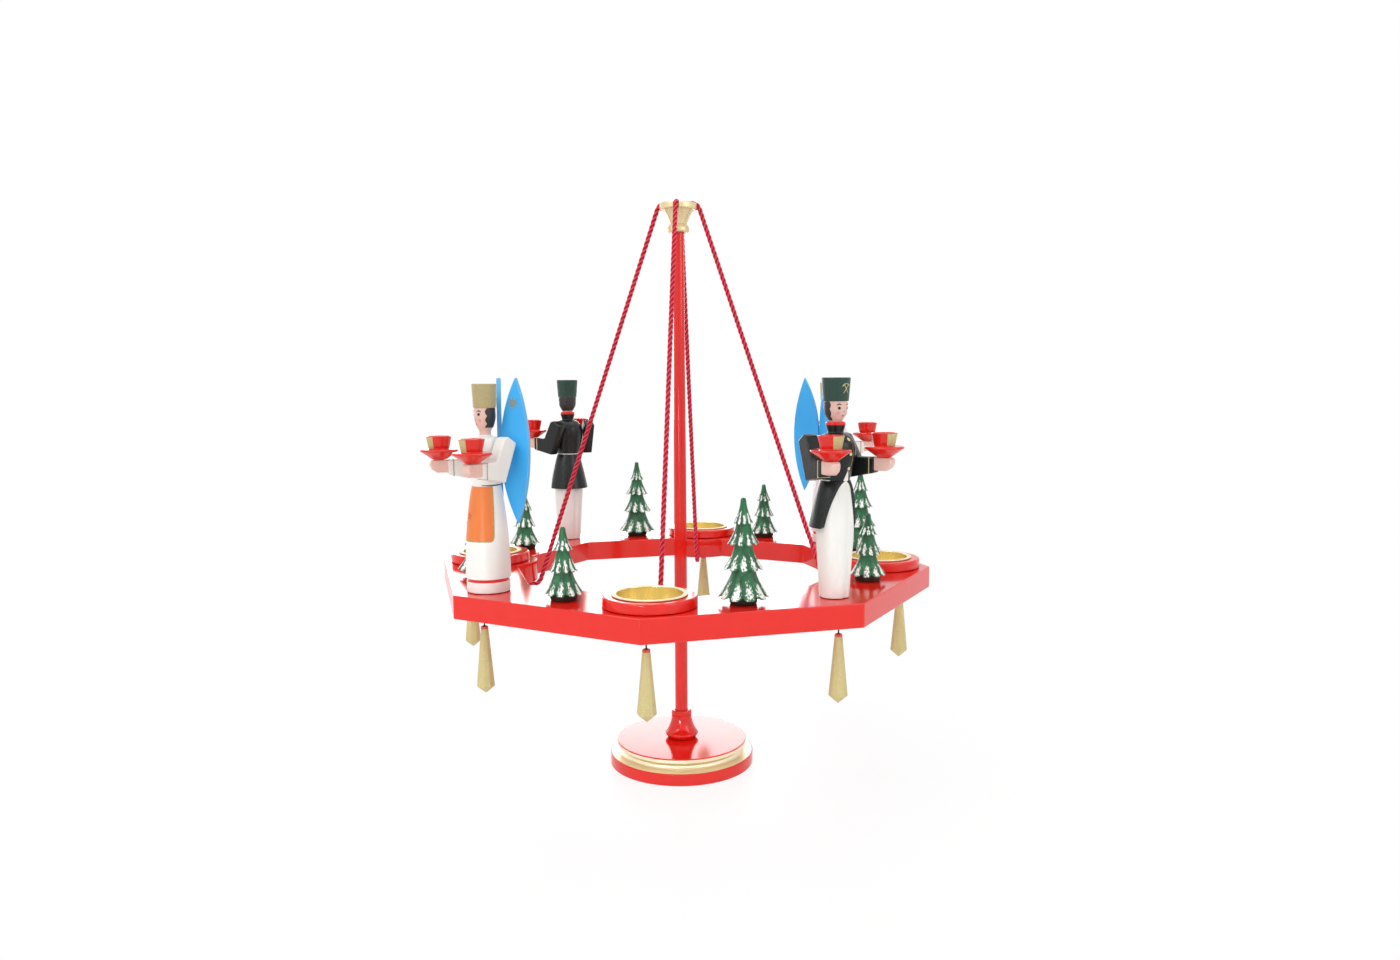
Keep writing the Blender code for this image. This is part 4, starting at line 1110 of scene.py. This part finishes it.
def face(surface, eye, brow, cheek, mouth):
    """Painted brows, eyes, cheeks, mouth and nostrils on the front of a head."""
    shapes = []
    for side in (-1, 1):
        x = side * eye[0]
        arch = [(x - side * 0.0014, brow - 0.0002), (x, brow + 0.0003), (x + side * 0.0016, brow - 0.0004)]
        rosy = dot(side * cheek[0], cheek[1], 0.0011)
        shapes.append(painted(stroke(arch, 0.0008), surface, "hair black", 0.0005))
        shapes.append(painted(dot(x, eye[1], 0.00092), surface, "hair black", 0.0005))
        shapes.append(painted(rosy, surface, "blush", 0.0006, PAINT_DEPTH / 2))
    smile = [(-0.0011, mouth + 0.0001), (0, mouth - 0.0003), (0.0011, mouth + 0.0001)]
    shapes.append(painted(stroke(smile, 0.0008), surface, "lip red", 0.0005))
    for x in (0.0006, -0.0006):
        shapes.append(painted(dot(x, mouth + 0.0024, 0.00022, 10), surface, "lip red", 0.0005))
    return shapes


def hair(surface, reach, top, bottom, front, curl, count=24):
    """Hair round the back of a head, with scalloped curls along its front edges."""
    girth = 2 * math.pi * reach
    edge = []
    for i in range(count + 1):
        t = i / count
        edge.append((front - curl * abs(math.sin(2.5 * math.pi * t)), top + (bottom - top) * t))
    far_edge = [(girth - x, z) for x, z in reversed(edge)]
    return painted(edge + far_edge, surface, "hair black", 0.0012, PAINT_DEPTH * 2)


def angel_outline():
    """Gown, head and tall hat, from the foot up."""
    white, skin, gold = "white", "skin", "hat gold"
    foot, groove, hem = 0.0072, 0.0079, 0.0093
    gown = []
    for step in range(25):
        rise = step / 24
        fall = math.cos(rise * math.pi / 2) ** 0.8 if rise < 1 else 0.0
        gown.append((0.0089 + (0.0142 - 0.0089) * fall, hem + (GOWN_WAIST - hem) * rise, white))
    chest, shoulder, head = ANGEL["chest"], ANGEL["shoulder"], ANGEL["head"]
    hat = ANGEL_CHIN + 0.0143
    return rounded([
        (0, FIT, white),
        (0.01375, FIT, white, 0.0008),
        (0.01375, foot, "red lacquer", 0.0005),
        (0.01305, groove, "red lacquer", 0.0003),
        (0.01305, hem, white, 0.0003),
        *gown,
        (chest * 0.93, shoulder - chest * 1.45, white, 0.008),
        (chest, shoulder - chest * 0.9, white, 0.006),
        (chest * 0.95, shoulder - chest * 0.4, white, 0.004),
        (chest * 0.66, shoulder - 0.0007, white, 0.003),
        (0.0036, shoulder + 0.0007, skin, 0.001),
        (0.0036, ANGEL_CHIN, skin, 0.001),
        (head * 0.78, ANGEL_CHIN + 0.0024, skin, 0.003),
        (head, ANGEL_CHIN + 0.0075, skin, 0.005),
        (head * 0.97, hat, gold),
        (head + 0.0004, hat, gold, 0.0002),
        (0.0078, hat + 0.015, gold, 0.0006),
        (0, hat + 0.015, gold),
    ])


def apron_outline(inset):
    """The apron's outline on the gown, from hip to hip, with rounded lower corners."""
    half = [
        (0.0150, 0.0330 + inset),
        (0.0164, 0.0338 + inset),
        (0.0172 - inset, 0.0362),
        (0.0178 - inset, 0.0500),
        (0.0186 - inset, 0.0676),
    ]
    return half + [(-across, up) for across, up in reversed(half)]


def angel_body():
    """A turned angel with a flat for the wings, a painted apron, beads, hair and a face."""
    outline = angel_outline()
    body = turned(outline, 72)
    bmesh.ops.bisect_plane(body, geom=body.verts[:] + body.edges[:] + body.faces[:],
                           plane_co=(0, WING_SEAT, 0), plane_no=(0, 1, 0))
    for vert in body.verts:
        if vert.co.y > WING_SEAT and GOWN_WAIST < vert.co.z < ANGEL["shoulder"]:
            vert.co.y = WING_SEAT
    shapes = [body]
    gown = on_turned(outline, 0.012)
    shapes.append(painted(apron_outline(0.0), gown, "olive gold", 0.0016))
    shapes.append(painted(apron_outline(0.0010), gown, "apron orange", 0.0016, PAINT_DEPTH * 1.6))
    flower = 0.049
    for i in range(5):
        angle = 2 * math.pi * i / 5 + 0.3
        petal = dot(0.0015 * math.cos(angle), flower + 0.0015 * math.sin(angle), 0.0006, 10)
        shapes.append(painted(petal, gown, "lip red", 0.0006, PAINT_DEPTH * 2.4))
    shapes.append(painted(dot(0, flower, 0.0005, 10), gown, "olive gold", 0.0006, PAINT_DEPTH * 2.6))
    apron_string = ((0.0092, 0.0684), (0.016, 0.0682), (0.024, 0.0684), (0.0320, 0.0682))
    for side in (-1, 1):
        string = [(side * across, up) for across, up in apron_string]
        shapes.append(painted(stroke(string, 0.0008), gown, "hat green", 0.001))
    chin = ANGEL_CHIN
    head = on_turned(outline, ANGEL["head"])
    shapes += face(head, (0.0034, chin + 0.0102), chin + 0.0122, (0.0038, chin + 0.0064), chin + 0.0042)
    shapes.append(hair(head, ANGEL["head"], chin + 0.0141, chin + 0.0018, 0.0090, 0.0014))
    neckline = on_turned(outline, 0.007)
    for i in range(9):
        bead = dot(-0.0048 + 0.0012 * i, ANGEL["shoulder"] - 0.0011, 0.0003, 8)
        shapes.append(painted(bead, neckline, "apron orange", 0.0006))
    return shapes


def wing(side):
    """A flat leaf-shaped wing with a small gilt star near its tip."""
    height, bottom, thickness = 0.0928, 0.0430, 0.003
    outer, inner = 0.0090, 0.0121
    spread = math.radians(62)
    half = thickness / 2
    start = (half * math.cos(spread) + FIT) / math.sin(spread)
    chord = start + inner
    spine = WING_SEAT + FIT + half * math.sin(spread) - start * math.cos(spread)
    outline = []
    for bulge, direction in ((outer, 1), (inner, -1)):
        radius = (height**2 / 4 + bulge**2) / (2 * bulge)
        sweep = math.asin(height / 2 / radius)
        for step in range(40):
            angle = -sweep + 2 * sweep * step / 40
            x, z = bulge - radius + radius * math.cos(angle), radius * math.sin(angle)
            outline.append((chord + direction * x, bottom + height / 2 + direction * z))
    place = Matrix.Translation((0, spine, 0)) @ Matrix.Rotation(math.pi / 2 - side * spread, 4, "Z")
    front = on_board(-side * half, -side)
    shapes = [sawn(outline, thickness, "wing blue", "wing edge", edge=0.0006)]
    for number, ray in enumerate(star(chord - 0.0016, bottom + height * 0.825, 0.0037, 0.0013)):
        shapes.append(painted(ray, front, "star gold", 0.0007, PAINT_DEPTH * (1 + 0.15 * number)))
    return [moved(shape, place) for shape in shapes]


def miner_outline():
    """Trousers, jacket and standing collar, from the foot up."""
    white, black, red = "white", "coat black", "red lacquer"
    waist, chest, shoulder, collar = 0.072, MINER["chest"], MINER["shoulder"], MINER_COLLAR
    return rounded([
        (0, FIT, white),
        (0.0092, FIT, white, 0.0008),
        (0.01055, waist * 0.3, white, 0.012),
        (0.0119, waist * 0.58, white, 0.012),
        (0.0112, waist * 0.74, white, 0.010),
        (0.0087, waist - 0.0007, white, 0.001),
        (0.0087, waist + 0.0003, black, 0.0003),
        (chest * 0.9, shoulder - chest * 1.45, black, 0.009),
        (chest, shoulder - chest * 0.9, black, 0.006),
        (chest * 0.95, shoulder - chest * 0.4, black, 0.004),
        (chest * 0.66, shoulder - 0.0007, black, 0.003),
        (0.0047, shoulder + 0.0007, black, 0.0008),
        (0.0060, collar - 0.0014, red, 0.0002),
        (0.0061, collar, red, 0.0003),
        (0.0054, collar + 0.0007, red, 0.0003),
        (0.0041, collar - 0.0007, red),
        (0.0041, shoulder, black),
        (0, shoulder, black),
    ])


def coat():
    """The coat's flared skirt, opened at the front by a slanting cut."""
    black = "coat black"
    waist, length, hem, waist_radius = 0.0722, 0.0282, 0.0160, 0.0094
    opening_at_hem, opening_at_waist = 0.0020, 0.0087
    bottom = waist - length
    flare = []
    for step in range(13):
        fall = step / 12
        flare.append((waist_radius + (hem - waist_radius) * fall**0.85, waist - length * fall, black))
    outline = rounded([
        (0, waist + 0.0002, black),
        (0.0090, waist + 0.0002, black, 0.0002),
        *flare,
        (hem - 0.0005, bottom - 0.0003, black, 0.0002),
        (0.0100, bottom + 0.0006, black),
        (0, bottom + 0.0006, black),
    ])
    shape = turned(outline, 72)
    lean = math.atan2(opening_at_waist - opening_at_hem, length)
    opened = bmesh.ops.bisect_plane(
        shape, geom=shape.verts[:] + shape.edges[:] + shape.faces[:], dist=WELD / 10,
        plane_co=(0, -opening_at_hem, bottom), plane_no=(0, -math.cos(lean), -math.sin(lean)),
        clear_outer=True)
    rim = [part for part in opened["geom_cut"] if isinstance(part, bmesh.types.BMEdge)]
    for new_face in bmesh.ops.holes_fill(shape, edges=rim, sides=0)["faces"]:
        new_face.material_index = FINISH_ORDER.index(black)
        new_face.smooth = False
    return shape


def miner_body():
    """A turned miner with creased trousers, a coat skirt and painted buttons and belt."""
    outline = miner_outline()
    body = turned(outline, 96)
    trouser_top, crease_depth = 0.0715, 0.0011
    for vert in body.verts:
        if vert.co.z < trouser_top:
            angle = math.atan2(vert.co.x, -vert.co.y)
            fold = max(math.exp(-(angle / 0.16) ** 2), math.exp(-((abs(angle) - math.pi) / 0.16) ** 2))
            crease = max(math.exp(-((abs(angle) - 0.75) / 0.14) ** 2) * 0.35, fold)
            depth = crease_depth * crease * smoothstep(trouser_top, 0.055, vert.co.z)
            vert.co.xy *= 1 - depth / max(vert.co.xy.length, WELD)
    shapes = [body, coat()]
    chest = on_turned(outline, MINER["chest"])
    vee = [(-0.0030, 0.0722), (0.0030, 0.0722), (0, 0.0790)]
    shapes.append(painted(vee, chest, "white", 0.0008))
    for i in range(3):
        button = dot(0, 0.0800 + 0.0088 * i, 0.0010, 16)
        shapes.append(painted(button, chest, "gilt", 0.0006, PAINT_DEPTH * 4))
    placket = [(0.0022, 0.0762), (0.0026, 0.085), (0.0022, 0.0985)]
    shapes.append(painted(stroke(placket, 0.0004), chest, "olive gold", 0.0008))
    belt = [(0.0125 * 1.3 + 0.0022 * i, 0.0727) for i in range(23)]
    shapes.append(painted(stroke(belt, 0.0007), chest, "white", 0.0012, PAINT_DEPTH * 2))
    return shapes


def miner_head_outline():
    """Head and tall hat, from the peg in the collar up."""
    skin, green = "skin", "hat green"
    jaw, head = MINER_JAW, MINER["head"]
    hat = jaw + 0.0121
    return rounded([
        (0, MINER["shoulder"] + FIT, skin),
        (0.0038, MINER["shoulder"] + FIT, skin),
        (0.0038, jaw - FIT, skin),
        (head * 0.72, jaw + 0.0017, skin, 0.0012),
        (head * 0.94, jaw + 0.0046, skin, 0.003),
        (head, jaw + 0.0083, skin, 0.003),
        (head, hat, green),
        (head + 0.0007, hat, green, 0.0003),
        (0.0089, hat + 0.0142, green, 0.0008),
        (0, hat + 0.0142, green),
    ])


def miner_head():
    """A miner's head with hair and a face, and crossed hammers on the hat."""
    outline = miner_head_outline()
    shapes = [turned(outline, 72)]
    surface = on_turned(outline, MINER["head"])
    jaw = MINER_JAW
    hat = jaw + 0.0121
    shapes += face(surface, (0.0036, jaw + 0.0079), jaw + 0.0101, (0.0042, jaw + 0.0050), jaw + 0.0034)
    shapes.append(hair(surface, MINER["head"], hat - 0.0002, jaw + 0.0006, 0.0098, 0.0009))
    crest = on_turned(outline, 0.0082)
    middle = hat + 0.0074
    handle = ((-0.0019, -0.0028), (0, 0), (0.0017, 0.0025))
    hammer = ((0.0003, 0.0032), (0.0017, 0.0025), (0.0028, 0.0014))
    for side in (-1, 1):
        for points, width, depth in ((handle, 0.0005, 1.0), (hammer, 0.0008, 1.4)):
            line = stroke([(side * across, middle + up) for across, up in points], width)
            shapes.append(painted(line, crest, "drop gilt", 0.0006, PAINT_DEPTH * depth))
    return shapes


def make_figures():
    """The angels and miners, facing out from every other corner of the ring."""
    for name, corner in FIGURES.items():
        place = on_ring(FIGURE_STATION, CORNER * corner)
        is_angel = name.startswith("angel")
        if is_angel:
            size, sleeve, line, slot = ANGEL, "white", "olive gold", "white_paint"
            fixed(as_object(f"{name}_gown", angel_body(), place), "ring", f"{name}_body")
        else:
            size, sleeve, line, slot = MINER, "coat black", "gilt", "black_paint"
            fixed(as_object(f"{name}_coat", miner_body(), place), "ring", f"{name}_body")
            fixed(as_object(f"{name}_hat", miner_head(), place), "ring", f"{name}_head")
        for word, side in (("left", 1), ("right", -1)):
            fixed(as_object(f"{name}_sleeve_{word}", arm(size, side, sleeve, line), place),
                  "ring", f"{name}_arm_{word}")
            fixed(as_object(f"{name}_candle_cup_{word}", cup(size, side), place),
                  "ring", f"{name}_cup_{word}")
            if is_angel:
                fixed(as_object(f"{name}_feather_{word}", wing(side), place),
                      "ring", f"{name}_wing_{word}")


# Studio


def make_camera():
    """The camera that took the photograph, with its slight roll."""
    right = CAMERA_HEADING.cross(Vector((0, 0, 1))).normalized()
    up = right.cross(CAMERA_HEADING).normalized()
    level = math.cos(CAMERA_ROLL) * right + math.sin(CAMERA_ROLL) * up
    upright = math.cos(CAMERA_ROLL) * up - math.sin(CAMERA_ROLL) * right
    turn = Matrix((level, upright, -CAMERA_HEADING.normalized())).transposed()
    lens = bpy.data.cameras.new("camera")
    lens.lens = CAMERA_LENS
    lens.sensor_width = CAMERA_SENSOR
    lens.sensor_fit = "HORIZONTAL"
    lens.clip_start = 0.01
    camera = bpy.data.objects.new("camera", lens)
    camera.matrix_world = Matrix.Translation(CAMERA_PLACE) @ turn.to_4x4()
    bpy.context.scene.collection.objects.link(camera)
    bpy.context.scene.camera = camera


def make_floor():
    """A white floor that keeps a soft shadow and reads as white paper to the camera."""
    shape = bmesh.new()
    bmesh.ops.create_grid(shape, x_segments=1, y_segments=1, size=6.0)
    data = bpy.data.meshes.new("floor")
    shape.to_mesh(data)
    shape.free()
    floor = bpy.data.objects.new("floor", data)
    floor.location = (0, 0, -0.0002)
    bpy.context.scene.collection.objects.link(floor)
    material, tree, shader = new_finish("white paper")
    shader.inputs["Base Color"].default_value = (0.92, 0.92, 0.92, 1)
    shader.inputs["Roughness"].default_value = 0.3
    glow = node(tree, "ShaderNodeEmission", Color=(1, 1, 1, 1), Strength=1.0)
    coordinates, away = node(tree, "ShaderNodeTexCoord"), node(tree, "ShaderNodeVectorMath")
    away.operation = "LENGTH"
    tree.links.new(coordinates.outputs["Object"], away.inputs[0])
    fade = range_of(tree, away.outputs["Value"], 0.84, 1.0, BASE_RADIUS, 2 * RING_CORNER_RADIUS)
    fade.node.interpolation_type = "SMOOTHSTEP"
    share = math_node(tree, "MULTIPLY", seen_or_mirrored(tree), fade)
    mixed = tree.nodes.new("ShaderNodeMixShader")
    tree.links.new(share, mixed.inputs["Fac"])
    tree.links.new(shader.outputs["BSDF"], mixed.inputs[1])
    tree.links.new(glow.outputs["Emission"], mixed.inputs[2])
    tree.links.new(mixed.outputs["Shader"], tree.nodes["Material Output"].inputs["Surface"])
    data.materials.append(material)


def make_world():
    """Bright surroundings that look pure white to the camera and in mirrors."""
    world = bpy.data.worlds.new("studio")
    bpy.context.scene.world = world
    world.use_nodes = True
    tree = world.node_tree
    background = tree.nodes["Background"]
    background.inputs["Color"].default_value = (1, 1, 1, 1)
    tree.links.new(range_of(tree, seen_or_mirrored(tree), 0.72, 1.0), background.inputs["Strength"])


def add_softbox(name, place, target, size, power):
    lamp = bpy.data.lights.new(name, "AREA")
    lamp.shape = "RECTANGLE"
    lamp.size, lamp.size_y = size
    lamp.energy = power
    softbox = bpy.data.objects.new(name, lamp)
    softbox.location = place
    softbox.rotation_euler = (Vector(target) - Vector(place)).to_track_quat("-Z", "Y").to_euler()
    softbox.visible_camera = False
    bpy.context.scene.collection.objects.link(softbox)
    return softbox


def make_studio():
    """Camera, floor and surroundings, four softboxes and a white sheet for the lacquer to mirror."""
    bpy.context.scene.view_settings.view_transform = "Standard"
    make_camera()
    make_floor()
    make_world()
    add_softbox("key softbox", (-0.9, -1.1, 1.3), (0, 0, 0.2), (0.9, 0.9), 9)
    add_softbox("fill softbox", (1.3, -0.8, 0.8), (0, 0, 0.2), (0.8, 0.8), 4.5)
    add_softbox("top softbox", (0, 0.2, 1.6), (0, 0, 0.2), (1.4, 1.0), 6)
    low = add_softbox("low softbox", (-0.25, -1.3, 0.10), (0, 0, 0.04), (0.5, 0.3), 0.12)
    low.data.spread = math.radians(12)
    sheet = add_softbox("white sheet behind", (-0.95, 1.6, 0.42), (-0.95, 0, 0.42), (2.1, 0.5), 13)
    sheet.visible_diffuse = False


def main():
    make_base()
    make_collar()
    make_post()
    make_crown()
    make_cords()
    make_ring()
    make_tealights()
    make_trees()
    make_drops()
    make_figures()
    make_studio()


main()
